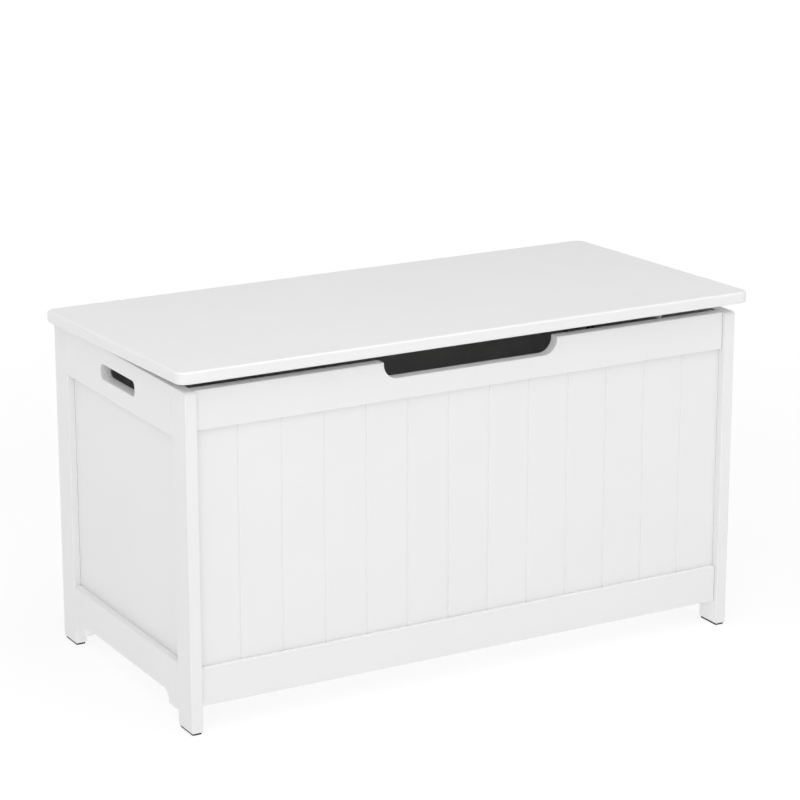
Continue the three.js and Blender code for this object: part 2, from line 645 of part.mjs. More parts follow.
// ---- Lid stays ----------------------------------------------------------------------------

// Places a solid made about +Z, from the side frame's inner face inwards, on the stud's axis.
const ontoStud = (side) => (geometry) =>
  pointAlongX(geometry, -side).translate(side * INSIDE_X, STUD_Y, STUD_Z);

const stayBaseScrewPlaces = (side) => screwPair(STAY_BASE_SCREW_SPACING).map(y => geometry =>
  ontoStud(side)(geometry.translate(0, 0, STAY_PLATE_FACE)).translate(0, y, 0));

// The base on the side: a plate with a boss and the stud that the arm's slot slides on.
function stayBase(side) {
  const studEnd = STAY_INNER_PART + KNOB_HEIGHT - KNOB_CAP;
  const inward = (offset) => side * (INSIDE_X - offset);
  const outline = roundedRectangle(
    STUD_Y - STAY_BASE_LENGTH / 2,
    STUD_Z - STAY_BASE_WIDTH / 2,
    STUD_Y + STAY_BASE_LENGTH / 2,
    STUD_Z + STAY_BASE_WIDTH / 2,
    STAY_PLATE_CORNER,
  );
  const plate = extrudeAlong("x", outline, inward(JOINT_GAP), inward(STAY_PLATE_FACE));
  const root = STAY_PLATE_FACE - STAY_PLATE_THICKNESS / 2;
  const boss = ontoStud(side)(rod(STAY_BOSS_RADIUS, root, STAY_BOSS_FACE));
  const stud = ontoStud(side)(rod(STUD_RADIUS, root, studEnd));
  return cut(join([plate, boss, stud]), stayBaseScrewPlaces(side).map(place => place(screwHole())));
}

// The hand knob that clamps the arm, bored for the stud.
function stayKnob(side) {
  const face = STAY_INNER_PART;
  const end = face + KNOB_HEIGHT;
  const bore = STUD_RADIUS + KNOB_CLEARANCE;
  const boreEnd = end - KNOB_CAP + JOINT_GAP;
  return ontoStud(side)(turned([
    [0, boreEnd],
    [bore, boreEnd],
    [bore, face],
    [KNOB_RADIUS - KNOB_EDGE, face],
    [KNOB_RADIUS, face + KNOB_EDGE],
    [KNOB_RADIUS, end - KNOB_EDGE],
    [KNOB_RADIUS - KNOB_EDGE, end],
    [0, end],
  ]));
}

// The arm, lying forward from its pivot: an eye at the pivot and a long slot for the stud.
function stayArm(side) {
  const slotStart = ARM_REACH_CLOSED - SLOT_END_PLAY;
  const slotEnd = ARM_REACH_OPEN + SLOT_END_PLAY;
  const outline = stadium(-slotEnd, 0, ARM_WIDTH / 2);
  const slot = stadium(-slotEnd, -slotStart, STUD_RADIUS + STUD_CLEARANCE, new THREE.Path());
  const eye = new THREE.Path().absarc(0, 0, RIVET_RADIUS + RIVET_CLEARANCE, 0, 2 * Math.PI);
  outline.holes.push(slot, eye);
  const outerX = side * (INSIDE_X - ARM_OUTER_FACE);
  const innerX = side * (INSIDE_X - ARM_INNER_FACE);
  return extrudeAlong("x", outline, outerX, innerX);
}

// The direction of the arm in the lid's frame, as a turn about +X from lying straight forward.
function armTurn(opening) {
  const atPivot = (Math.PI - spreadAt(opening)) / 2;
  return -(Math.PI - PIVOT_ANGLE + atPivot);
}

// Screws in the lid's bracket point up, in the middle of the flange beside the tab.
const bracketScrewPlaces = (side) => screwPair(FLANGE_SCREW_SPACING).map(y => geometry => {
  const x = side * (INSIDE_X - STAY_INNER_PART - (STAY_PLATE_THICKNESS + FLANGE_WIDTH) / 2);
  return geometry.rotateX(Math.PI).translate(x, -PIVOT_FORWARD + y, FLANGE_UNDER);
});

// The bracket under the lid: a flange screwed to the lid and a tab that holds the arm's pivot.
function stayBracket(side) {
  const half = ARM_WIDTH / 2;
  const inward = (offset) => side * (INSIDE_X - offset);
  const tabOutline = new THREE.Shape();
  tabOutline.moveTo(-PIVOT_FORWARD - half, FLANGE_TOP);
  tabOutline.lineTo(-PIVOT_FORWARD - half, -PIVOT_BELOW);
  tabOutline.absarc(-PIVOT_FORWARD, -PIVOT_BELOW, half, Math.PI, 2 * Math.PI);
  tabOutline.lineTo(-PIVOT_FORWARD + half, FLANGE_TOP);
  tabOutline.holes.push(new THREE.Path().absarc(
    -PIVOT_FORWARD, -PIVOT_BELOW, RIVET_RADIUS + RIVET_CLEARANCE, 0, 2 * Math.PI));
  const tabInner = STAY_INNER_PART + STAY_PLATE_THICKNESS;
  const tab = extrudeAlong("x", tabOutline, inward(STAY_INNER_PART), inward(tabInner));
  const flange = block(
    [inward(STAY_INNER_PART), -PIVOT_FORWARD - FLANGE_LENGTH / 2, FLANGE_UNDER],
    [inward(STAY_INNER_PART + FLANGE_WIDTH), -PIVOT_FORWARD + FLANGE_LENGTH / 2, FLANGE_TOP],
  );
  return cut(join([tab, flange]), bracketScrewPlaces(side).map(place => place(screwHole())));
}

// The rivet through the bracket's tab and the arm's eye.
function stayRivet(side) {
  const outerFace = ARM_OUTER_FACE - RIVET_CLEARANCE;
  const innerFace = STAY_INNER_PART + STAY_PLATE_THICKNESS + RIVET_CLEARANCE;
  const rivet = turned([
    [0, outerFace - RIVET_HEAD_THICKNESS],
    [RIVET_HEAD_RADIUS, outerFace - RIVET_HEAD_THICKNESS],
    [RIVET_HEAD_RADIUS, outerFace],
    [RIVET_RADIUS, outerFace],
    [RIVET_RADIUS, innerFace],
    [RIVET_HEAD_RADIUS, innerFace],
    [RIVET_HEAD_RADIUS, innerFace + RIVET_HEAD_THICKNESS],
    [0, innerFace + RIVET_HEAD_THICKNESS],
  ]);
  return pointAlongX(rivet, -side).translate(side * INSIDE_X, -PIVOT_FORWARD, -PIVOT_BELOW);
}

// The hardware that stays on the box: hinge leaves, pins, stay bases and knobs, and their screws.
function boxHardware() {
  const group = new THREE.Group();
  for (const [name, side] of SIDES) {
    group.add(piece(`${name}_hinge_box_leaf`, boxLeaf(side), "zinc"));
    group.add(piece(`${name}_hinge_pin`, hingePin(side), "zinc"));
    group.add(piece(`${name}_stay_base`, stayBase(side), "blackSteel"));
    group.add(piece(`${name}_stay_knob`, stayKnob(side), "blackPlastic"));
    boxLeafScrewPlaces(side).forEach((place, index) => {
      group.add(piece(`${name}_hinge_box_screw_${index + 1}`, place(screw()), "zinc"));
    });
    stayBaseScrewPlaces(side).forEach((place, index) => {
      group.add(piece(`${name}_stay_base_screw_${index + 1}`, place(screw()), "zinc"));
    });
  }
  return group;
}

// ---- Lid ----------------------------------------------------------------------------------

function lidBoard() {
  const halfX = HALF_WIDTH + LID_SIDE_OVERHANG;
  const outline = roundedRectangle(-halfX, -LID_REACH, halfX, -LID_REAR, LID_CORNER_RADIUS);
  const board = extrudeAlong("z", outline, LID_UNDER, LID_UNDER + BOARD, LID_EDGE_RADIUS, LID_EDGE_STEPS);
  const tools = [];
  for (const [, side] of SIDES) {
    tools.push(leafMortise(side, 1));
    tools.push(...lidLeafScrewPlaces(side).map(place => place(screwHole())));
    tools.push(...bracketScrewPlaces(side).map(place => place(screwHole())));
  }
  return cut(board, tools);
}

// A soft button under the lid, above a front post.
function lidBumper(side) {
  const forward = LID_REACH - LID_FRONT_OVERHANG - POST_WIDTH / 2;
  const top = LID_UNDER - JOINT_GAP;
  return rod(BUMPER_RADIUS, top - BUMPER_THICKNESS, top)
    .translate(side * (HALF_WIDTH - BOARD / 2), -forward, 0);
}

// The lid and all that swings with it, about the hinge axis. The arms hang from its brackets.
function lid() {
  const group = new THREE.Group();
  group.position.set(0, AXIS_Y, AXIS_Z);
  group.rotation.x = -AJAR;
  group.add(piece("lid_board", lidBoard(), "paint"));
  for (const [name, side] of SIDES) {
    group.add(piece(`${name}_lid_bumper`, lidBumper(side), "clearRubber"));
    group.add(piece(`${name}_hinge_lid_leaf`, lidLeaf(side), "zinc"));
    group.add(piece(`${name}_stay_lid_bracket`, stayBracket(side), "blackSteel"));
    group.add(piece(`${name}_stay_rivet`, stayRivet(side), "zinc"));
    lidLeafScrewPlaces(side).forEach((place, index) => {
      group.add(piece(`${name}_hinge_lid_screw_${index + 1}`, place(screw()), "zinc"));
    });
    bracketScrewPlaces(side).forEach((place, index) => {
      group.add(piece(`${name}_stay_bracket_screw_${index + 1}`, place(screw()), "zinc"));
    });
    const arm = new THREE.Group();
    arm.position.set(0, -PIVOT_FORWARD, -PIVOT_BELOW);
    arm.rotation.x = armTurn(AJAR);
    arm.add(piece(`${name}_stay_arm`, stayArm(side), "blackSteel"));
    group.add(arm);
  }
  return group;
}

// ---- The whole toy box --------------------------------------------------------------------

const toyBox = new THREE.Group();
toyBox.add(sideFrames(), frontAndBack(), floor(), boxHardware(), lid());

// Moves the pieces so that the origin lies under the middle of the whole piece, front to back.
const bounds = new THREE.Box3().setFromObject(toyBox, true);
const middleY = (bounds.min.y + bounds.max.y) / 2;
for (const child of toyBox.children) {
  child.position.y -= middleY;
}

export default toyBox;
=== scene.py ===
"""A white painted toy box with a hinged lid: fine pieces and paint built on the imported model."""

import json
import math

import bmesh
import bpy
from mathutils import Matrix, Vector
from mathutils.geometry import tessellate_polygon


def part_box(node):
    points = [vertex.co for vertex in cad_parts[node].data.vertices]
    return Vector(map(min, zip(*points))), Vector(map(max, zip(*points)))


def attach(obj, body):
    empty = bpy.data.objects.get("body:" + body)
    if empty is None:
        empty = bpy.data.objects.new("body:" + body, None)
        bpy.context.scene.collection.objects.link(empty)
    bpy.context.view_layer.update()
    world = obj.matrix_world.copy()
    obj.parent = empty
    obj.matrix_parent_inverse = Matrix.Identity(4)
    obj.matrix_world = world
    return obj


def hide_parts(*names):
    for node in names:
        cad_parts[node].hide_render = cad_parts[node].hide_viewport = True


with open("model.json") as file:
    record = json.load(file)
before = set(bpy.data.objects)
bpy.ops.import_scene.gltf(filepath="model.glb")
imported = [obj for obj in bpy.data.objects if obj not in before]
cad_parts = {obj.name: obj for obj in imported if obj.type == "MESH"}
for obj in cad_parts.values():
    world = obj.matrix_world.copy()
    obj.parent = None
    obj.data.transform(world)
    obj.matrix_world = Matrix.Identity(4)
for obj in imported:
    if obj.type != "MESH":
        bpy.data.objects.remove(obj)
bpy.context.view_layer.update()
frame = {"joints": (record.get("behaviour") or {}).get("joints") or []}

MM = 0.001
SIDES = (("left", -1), ("right", 1))
SIDE_NAMES = {side: name for name, side in SIDES}
ENDS = (("front", -1), ("rear", 1))

# ---- Sizes that the pieces share, in metres ------------------------------------------------

BOARD = 16 * MM
EDGE_EASE = 1.1 * MM  # rounding along the edges of posts and rails
THIN_EASE = 0.5 * MM  # rounding along the edges of panels, floor and battens
GAP = 0.3 * MM  # between pieces that meet
CUT_MARGIN = 1 * MM  # how far a cut runs past the face that it opens
PANEL_LAP = 8 * MM
POST_TOP_RADIUS = 5 * MM

PAD_CORNER = 1.5 * MM
PAD_EASE = 0.5 * MM

SLOT_LENGTH = 107 * MM
SLOT_HEIGHT = 20.5 * MM
SLOT_RADIUS = 7 * MM
SLOT_DROP = 22.4 * MM

BRACKET_LENGTH = 28.4 * MM
ARCH_RISE = 16.5 * MM
ARCH_RADIUS = 15 * MM
BRACKET_CORNER = 1.2 * MM

CUTOUT_WIDTH = 262 * MM
CUTOUT_DEPTH = 23 * MM
CUTOUT_RADIUS = 20 * MM
CUTOUT_LIP = 1.5 * MM  # rounding of the cut-out's two upper corners

PLANKS = 13
GROOVE_WIDTH = 2.2 * MM
GROOVE_DEPTH = 1.5 * MM
GROOVE_LIP = 0.5 * MM
GROOVE_ROOT = 0.3 * MM

LID_REAR = 3.5 * MM  # from the hinge axis forward to the lid's rear edge
LID_DEPTH = 426 * MM
LID_UNDER = 0.8 * MM  # the lid's underside above the hinge axis
LID_CORNER = 15 * MM
LID_EASE = 3 * MM

BUMPER_RADIUS = 5 * MM
BUMPER_HEIGHT = 1.2 * MM
BUMPER_SLOPE = 1.6 * MM  # from the flat face out to the rim
BUMPER_DOME = 1.5 * MM
BUMPER_RIM = 0.3 * MM
BUMPER_RIM_EASE = 0.2 * MM

LEAF_THICKNESS = 1.4 * MM
LEAF_REACH = 17.5 * MM
LEAF_CORNER = 2 * MM
LEAF_EASE = 0.25 * MM
BARREL_RADIUS = 3 * MM
BARREL_SLIT = 0.25 * MM
KNUCKLE_GAP = 0.4 * MM
KNUCKLE_EASE = 0.3 * MM
KNUCKLE_SHARE = 0.3  # of a hinge's length, for each outer knuckle
PIN_RADIUS = 1.5 * MM
PIN_BORE = 1.59 * MM
PIN_HEAD_RADIUS = 2.3 * MM
PIN_HEAD = 0.8 * MM
PIN_HEAD_EASE = 0.5 * MM
LEAF_SCREW_FORWARD = 11.5 * MM
LEAF_SCREW_SPACING = 40 * MM

SCREW_LENGTH = 12 * MM
SCREW_RADIUS = 1.5 * MM
SCREW_HEAD_RADIUS = 3 * MM
SCREW_RIM = 0.3 * MM
SCREW_NECK_EASE = 0.3 * MM
SCREW_RIM_EASE = 0.1 * MM
SCREW_CLEARANCE = 0.2 * MM
SCREW_TURN = math.radians(67)  # from one screw's recess to the next one's
FIRST_TURNS = {  # of the first recess in each row, in radians
    "hinge_box_screw": 0.4,
    "hinge_lid_screw": 1.1,
    "stay_base_screw": 0.7,
    "stay_bracket_screw": 1.7,
}
RECESS_LENGTH = 3.2 * MM  # the cross recess in a screw's head
RECESS_FLOOR = 1.28 * MM  # its length at the bottom
RECESS_WIDTH = 0.7 * MM
RECESS_DEPTH = 1.3 * MM

STAY_PLATE = 2 * MM
STAY_EASE = 0.35 * MM
STAY_CORNER = 4 * MM
STAY_SCREW_SPACING = 32 * MM
BOSS_RADIUS = 6 * MM
BOSS_HEIGHT = 1.4 * MM
BOSS_EASE = 0.3 * MM
STUD_RADIUS = 2.9 * MM
THREAD_PITCH = 0.8 * MM
THREAD_DEPTH = 0.35 * MM
ARM_WIDTH = 16 * MM
ARM_SLOT_RADIUS = 3.3 * MM
ARM_SLOT_PLAY = 1 * MM  # left over at each end of the slot
RIVET_BORE = 2.6 * MM
RIVET_RADIUS = 2.4 * MM
RIVET_HEAD_RADIUS = 4.5 * MM
RIVET_HEAD = 1.3 * MM
RIVET_DOME = 0.95 * RIVET_HEAD  # rounding of a head's edge
TAB_RADIUS = 0.999 * ARM_WIDTH / 2  # so that the tab ends in a half circle
FLANGE_LENGTH = 40 * MM
FLANGE_CORNER = 1.5 * MM
FLANGE_SCREW_SPACING = 26 * MM
KNOB_LOBES = 10
KNOB_LOBE_DEPTH = 0.5 * MM
KNOB_EASE = 1.2 * MM
KNOB_BORE = 3.1 * MM
KNOB_END = 2.2 * MM  # between the bore's end and the knob's face
KNOB_DISH_RADIUS = 5.2 * MM
KNOB_DISH_DEPTH = 0.6 * MM
KNOB_DISH_EASE = 0.3 * MM

# ---- Facets --------------------------------------------------------------------------------

BOARD_EDGE_STEPS = 4  # across a rounded board edge
LID_EDGE_STEPS = 8
METAL_EDGE_STEPS = 3
KNOB_EDGE_STEPS = 5
ROD_EDGE_STEPS = 4
CORNER_STEPS = 6  # along a rounded corner
BOARD_CORNER_STEPS = 10
CUTOUT_STEPS = 12
LID_CORNER_STEPS = 16
GROOVE_STEPS = 3
SCREW_CORNER_STEPS = 3
PIN_HEAD_STEPS = 5
PLATE_CORNER_STEPS = 8
RIVET_DOME_STEPS = 8
TAB_STEPS = 12
STADIUM_STEPS = 16  # around each end of the arm and of its slot
TURNED_STEPS = 48  # around a turned piece
POCKET_STEPS = 32
SCREW_STEPS = 36
STUD_STEPS = 40
KNOB_LOBE_STEPS = 12  # along each lobe
ON_AXIS = 1e-7  # a turned profile's point nearer than this lies on the axis
SHARP_ANGLE = math.radians(35)

# ---- Places from the frame -----------------------------------------------------------------

JOINTS = {joint["name"]: joint for joint in frame["joints"]}
HINGE = Vector(JOINTS["lid_hinge"]["pos_m"])
AJAR = -math.radians(JOINTS["lid_hinge"]["range_deg"][0])
LID_PLACE = Matrix.Translation(HINGE) @ Matrix.Rotation(-AJAR, 4, "X")
HINGE_PLACE = Matrix.Translation(HINGE)


def span(node, axis):
    """A CAD node's lowest and highest coordinate along an axis."""
    low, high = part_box(node)
    return low["xyz".index(axis)], high["xyz".index(axis)]


def middle(node):
    """The middle of a CAD node's box."""
    low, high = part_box(node)
    return (low + high) / 2


PANEL_LOW, PANEL_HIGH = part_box("left_panel")
INSIDE_X = abs(middle("left_panel").x) - (PANEL_HIGH.x - PANEL_LOW.x) / 2
RAIL_TOP = span("left_bottom_rail", "z")[1]
LEAF_START, LEAF_END = span("left_hinge_box_leaf", "x")
LEAF_HALF = (LEAF_END - LEAF_START) / 2
LEAF_CENTRES = {side: middle(f"{name}_hinge_pin").x for name, side in SIDES}

# ---- Outlines ------------------------------------------------------------------------------


def corner_arc(before, corner, after, radius, steps):
    """The points of the arc that rounds one corner of an outline."""
    to_before = (before - corner).normalized()
    to_after = (after - corner).normalized()
    half = to_before.angle(to_after) / 2
    centre = corner + (to_before + to_after).normalized() * (radius / math.sin(half))
    first = corner + to_before * (radius / math.tan(half)) - centre
    turn = math.pi - 2 * half
    if to_before.cross(to_after) > 0:
        turn = -turn
    return [centre + Matrix.Rotation(turn * k / steps, 2) @ first for k in range(steps + 1)]


def rounded(corners, steps=CORNER_STEPS, closed=True):
    """An outline from corners (u, v) or (u, v, radius)."""
    points = [Vector(c[:2]) for c in corners]
    outline = []
    for index, corner in enumerate(corners):
        inner = closed or 0 < index < len(corners) - 1
        if len(corner) == 2 or not inner:
            outline.append(points[index])
            continue
        after = points[(index + 1) % len(points)]
        outline += corner_arc(points[index - 1], points[index], after, corner[2], steps)
    return outline


def rectangle(u0, v0, u1, v1, radius=None, steps=CORNER_STEPS):
    """An outline between two opposite corners, rounded where a radius is given."""
    corners = [(u0, v0), (u1, v0), (u1, v1), (u0, v1)]
    if radius:
        corners = [(u, v, radius) for u, v in corners]
    return rounded(corners, steps)


def circle(u, v, radius, steps=TURNED_STEPS):
    """An outline around a centre."""
    turns = [2 * math.pi * k / steps for k in range(steps)]
    return [Vector((u + radius * math.cos(a), v + radius * math.sin(a))) for a in turns]


def stadium(u0, u1, radius, steps=STADIUM_STEPS):
    """A strip with round ends whose middle line runs from u0 to u1 at v = 0."""
    turns = [math.pi * (k / steps - 0.5) for k in range(steps + 1)]
    ahead = [Vector((u1 + radius * math.cos(a), radius * math.sin(a))) for a in turns]
    behind = [Vector((u0 - radius * math.cos(a), -radius * math.sin(a))) for a in turns]
    return ahead + behind


def signed_area(loop):
    """A loop's area, above zero where it runs anticlockwise."""
    return sum(a.cross(b) for a, b in zip(loop, loop[1:] + loop[:1])) / 2


def inset(loop, distance):
    """The loop moved to its left by a distance, mitred at its corners."""
    smaller = []
    for index, point in enumerate(loop):
        back = (point - loop[index - 1]).normalized().orthogonal()
        ahead = (loop[(index + 1) % len(loop)] - point).normalized().orthogonal()
        smaller.append(point + (back + ahead) * (distance / (1 + back.dot(ahead))))
    return smaller


# ---- Meshes --------------------------------------------------------------------------------

# Where an outline's u and v and the direction of its extrusion point.
AXIS_MAPS = {
    "x": lambda u, v, w: (w, u, v),
    "y": lambda u, v, w: (u, w, v),
    "z": lambda u, v, w: (u, v, w),
}


def slab(axis, loops, start, end, ease=0.0, steps=BOARD_EDGE_STEPS):
    """A board: an outline with holes between two places along an axis, its edges rounded over.

    The faces along its outlines are marked as routed, which the paint shows as rougher.
    """
    low, high = sorted((start, end))
    outer, *holes = loops
    if signed_area(outer) < 0:
        outer = outer[::-1]
    loops = [outer] + [hole[::-1] if signed_area(hole) > 0 else hole for hole in holes]
    turns = [math.pi / 2 * k / steps for k in range(steps + 1)] if ease else [math.pi / 2]
    levels = [(ease * (1 - math.sin(a)), ease * (1 - math.cos(a))) for a in turns]
    rings = [(shrink, low + depth) for shrink, depth in levels]
    rings += [(shrink, high - depth) for shrink, depth in reversed(levels)]

    mesh = bmesh.new()
    routed = mesh.faces.layers.float.new("routed")
    to_frame = AXIS_MAPS[axis]
    caps = {0: [], len(rings) - 1: []}
    for loop in loops:
        made = []
        for level, (shrink, w) in enumerate(rings):
            flat = inset(loop, shrink) if shrink else loop
            made.append([mesh.verts.new(to_frame(p.x, p.y, w)) for p in flat])
            if level in caps:
                caps[level].append((flat, made[-1]))
        for below, above in zip(made, made[1:]):
            for k in range(len(loop)):
                after = (k + 1) % len(loop)
                face = mesh.faces.new((below[k], below[after], above[after], above[k]))
                face[routed] = 1.0
    for flats in caps.values():
        points = [v for _, verts in flats for v in verts]
        lines = [[Vector((p.x, p.y, 0)) for p in flat] for flat, _ in flats]
        for triangle in tessellate_polygon(lines):
            mesh.faces.new([points[k] for k in triangle])
    bmesh.ops.recalc_face_normals(mesh, faces=mesh.faces)
    return mesh


def lathe(profile, steps=TURNED_STEPS):
    """A turned solid about +Z. The profile runs from its lowest to its highest point."""
    mesh = bmesh.new()
    rings = []
    for point in profile:
        if point.x < ON_AXIS:
            rings.append([mesh.verts.new((0, 0, point.y))] * steps)
            continue
        turns = [2 * math.pi * k / steps for k in range(steps)]
        rings.append([
            mesh.verts.new((point.x * math.cos(a), point.x * math.sin(a), point.y))
            for a in turns
        ])
    for below, above in zip(rings, rings[1:]):
        for k in range(steps):
            after = (k + 1) % steps
            corners = dict.fromkeys((below[k], below[after], above[after], above[k]))
            mesh.faces.new(list(corners))
    bmesh.ops.recalc_face_normals(mesh, faces=mesh.faces)
    return mesh


def rod(radius, start, end, ease=0.0):
    """A round bar about +Z between two heights, its edges rounded over."""
    near_edge = (radius, start, ease) if ease else (radius, start)
    far_edge = (radius, end, ease) if ease else (radius, end)
    profile = rounded([(0, start), near_edge, far_edge, (0, end)], ROD_EDGE_STEPS, closed=False)
    return lathe(profile)


def moved(mesh, matrix):
    """The same bmesh after a transform."""
    mesh.transform(matrix)
    return mesh


def along_x(side):
    """Turns +Z onto side * X."""
    return Matrix.Rotation(side * math.pi / 2, 4, "Y")


def solid(mesh, name="scratch"):
    """An object in the scene for a bmesh."""
    data = bpy.data.meshes.new(name)
    mesh.to_mesh(data)
    mesh.free()
    made = bpy.data.objects.new(name, data)
    bpy.context.scene.collection.objects.link(made)
    return made


def combine(base, tools, operation):
    """A boolean of one bmesh with others, as a new bmesh."""
    target = solid(base)
    for tool in tools:
        cutter = solid(tool)
        modifier = target.modifiers.new("combine", "BOOLEAN")
        modifier.operation = operation
        modifier.solver = "EXACT"
        modifier.object = cutter
        bpy.context.view_layer.update()
        evaluated = target.evaluated_get(bpy.context.evaluated_depsgraph_get())
        result = bpy.data.meshes.new_from_object(evaluated)
        target.modifiers.clear()
        target.data = result
        bpy.data.objects.remove(cutter)
    mesh = bmesh.new()
    mesh.from_mesh(target.data)
    bpy.data.objects.remove(target)
    return mesh


def cut(base, tools):
    """A bmesh with others taken away."""
    return combine(base, tools, "DIFFERENCE")


def join(base, tools):
    """A bmesh with others added."""
    return combine(base, tools, "UNION")


def piece(name, mesh, body, node, material):
    """Shows a mesh in place of a CAD node, riding on its body."""
    made = solid(mesh, name)
    made.data.materials.append(material)
    made.data.shade_smooth()
    made.data.set_sharp_from_angle(angle=SHARP_ANGLE)
    normals = made.modifiers.new("flat faces", "WEIGHTED_NORMAL")
    normals.keep_sharp = True
    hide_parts(node)
    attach(made, body)


# ---- Materials -----------------------------------------------------------------------------

PAINT_LIGHT = (0.859, 0.859, 0.859, 1)
PAINT_SHADE = (0.845, 0.845, 0.845, 1)
PAINT_ROUGHNESS = (0.35, 0.43)
PAINT_IOR = 1.49
ROUTED_ROUGHNESS = 0.08  # added where an edge was routed
PEEL_HEIGHT = 0.012 * MM
WAVE_HEIGHT = 0.06 * MM
FIBRE_HEIGHT = 0.03 * MM

ZINC_DARK = (0.66, 0.68, 0.71, 1)
ZINC_BRIGHT = (0.80, 0.81, 0.82, 1)
ZINC_ROUGHNESS = (0.26, 0.44)
SCRATCH_SCALE = (60.0, 1500.0, 1500.0)
SCRATCH_DEPTH = 0.004 * MM

COAT_DARK = (0.022, 0.023, 0.025, 1)
COAT_LIGHT = (0.045, 0.046, 0.05, 1)
COAT_ROUGHNESS = (0.42, 0.58)
COAT_GRAIN = 0.04 * MM

PLASTIC_DARK = (0.018, 0.018, 0.019, 1)
PLASTIC_LIGHT = (0.034, 0.034, 0.036, 1)
PLASTIC_ROUGHNESS = (0.5, 0.62)
PLASTIC_GRAIN = 0.03 * MM

RUBBER_BLACK = (0.012, 0.012, 0.012, 1)
RUBBER_DUST = (0.05, 0.05, 0.05, 1)
RUBBER_ROUGHNESS = (0.75, 0.92)
RUBBER_GRAIN = 0.05 * MM

CLEAR_DARK = (0.78, 0.80, 0.80, 1)
CLEAR_LIGHT = (0.86, 0.87, 0.87, 1)
CLEAR_ROUGHNESS = (0.2, 0.34)
CLEAR_SCATTER = 0.4
CLEAR_SCATTER_DEPTH = 1.5 * MM


class Nodes:
    """Short calls for building a node tree."""

    def __init__(self, name):
        self.material = bpy.data.materials.new(name)
        self.material.use_nodes = True
        self.tree = self.material.node_tree
        self.shader = self.tree.nodes["Principled BSDF"]

    def add(self, kind, inputs=None, **settings):
        """A node with its settings, and its inputs linked or set."""
        node = self.tree.nodes.new(kind)
        for key, value in settings.items():
            setattr(node, key, value)
        for key, value in (inputs or {}).items():
            if isinstance(value, bpy.types.NodeSocket):
                self.tree.links.new(value, node.inputs[key])
            else:
                node.inputs[key].default_value = value
        return node

    def link(self, output, socket):
        """Feeds an output into the shader."""
        self.tree.links.new(output, self.shader.inputs[socket])

    def place(self):
        """Coordinates in metres that differ from piece to piece."""
        coordinates = self.add("ShaderNodeTexCoord").outputs["Object"]
        chance = self.add("ShaderNodeObjectInfo").outputs["Random"]
        added = self.add("ShaderNodeVectorMath", {0: coordinates, 1: chance}, operation="ADD")
        return added.outputs[0]

    def noise(self, vector, scale, detail=3.0, roughness=0.5):
        """A noise between 0 and 1."""
        inputs = {"Vector": vector, "Scale": scale, "Detail": detail, "Roughness": roughness}
        return self.add("ShaderNodeTexNoise", inputs).outputs["Fac"]

    def spread(self, factor, low, high, start=0.3, end=0.7):
        """A factor from start to end mapped to a value from low to high."""
        inputs = {
            "Value": factor, "From Min": start, "From Max": end, "To Min": low, "To Max": high,
        }
        return self.add("ShaderNodeMapRange", inputs).outputs["Result"]

    def mix(self, factor, a, b):
        """A colour between two others."""
        node = self.add("ShaderNodeMix", data_type="RGBA")
        for key, value in (("Factor", factor), ("A", a), ("B", b)):
            socket = next(s for s in node.inputs if s.name == key and s.enabled)
            if isinstance(value, bpy.types.NodeSocket):
                self.tree.links.new(value, socket)
            else:
                socket.default_value = value
        return next(s for s in node.outputs if s.enabled)

    def math(self, operation, a, b):
        """Two values combined by a math operation."""
        return self.add("ShaderNodeMath", {0: a, 1: b}, operation=operation).outputs[0]

    def bump(self, height, distance, normal=None):
        """A normal bent by a height."""
        inputs = {"Height": height, "Distance": distance, "Strength": 1.0}
        if normal:
            inputs["Normal"] = normal
        return self.add("ShaderNodeBump", inputs).outputs["Normal"]


def paint():
    """Satin white lacquer on board: faint orange peel, soft unevenness and rougher routed edges."""
    n = Nodes("satin_white_paint")
    place = n.place()
    routed = n.add("ShaderNodeAttribute", attribute_name="routed").outputs["Fac"]
    cloud = n.noise(place, scale=9.0, detail=4.0)
    n.link(n.mix(n.spread(cloud, 0.0, 1.0), PAINT_LIGHT, PAINT_SHADE), "Base Color")
    gloss = n.spread(n.noise(place, scale=60.0), *PAINT_ROUGHNESS)
    edge = n.spread(routed, 0.0, ROUTED_ROUGHNESS, start=0.0, end=1.0)
    n.link(n.math("ADD", gloss, edge), "Roughness")
    n.shader.inputs["IOR"].default_value = PAINT_IOR
    peel = n.bump(n.noise(place, scale=700.0, detail=2.0), PEEL_HEIGHT)
    waves = n.bump(n.noise(place, scale=45.0, detail=2.0), WAVE_HEIGHT, peel)
    fibres = n.math("MULTIPLY", n.noise(place, scale=1400.0, detail=4.0, roughness=0.7), routed)
    n.link(n.bump(fibres, FIBRE_HEIGHT, waves), "Normal")
    return n.material


def zinc():
    """Zinc plated steel: bright, faintly mottled and finely scratched."""
    n = Nodes("zinc_plate")
    place = n.place()
    cloud = n.noise(place, scale=180.0, detail=4.0)
    n.link(n.mix(cloud, ZINC_DARK, ZINC_BRIGHT), "Base Color")
    n.shader.inputs["Metallic"].default_value = 1.0
    stretched = n.add("ShaderNodeMapping", {"Vector": place, "Scale": SCRATCH_SCALE})
    scratches = n.noise(stretched.outputs["Vector"], scale=1.0, detail=2.0)
    n.link(n.spread(scratches, *ZINC_ROUGHNESS), "Roughness")
    n.link(n.bump(scratches, SCRATCH_DEPTH), "Normal")
    return n.material


def powder_coat():
    """Fine black powder coat."""
    n = Nodes("black_powder_coat")
    place = n.place()
    grain = n.noise(place, scale=1600.0)
    n.link(n.mix(grain, COAT_DARK, COAT_LIGHT), "Base Color")
    n.link(n.spread(n.noise(place, scale=300.0), *COAT_ROUGHNESS), "Roughness")
    n.link(n.bump(grain, COAT_GRAIN), "Normal")
    return n.material


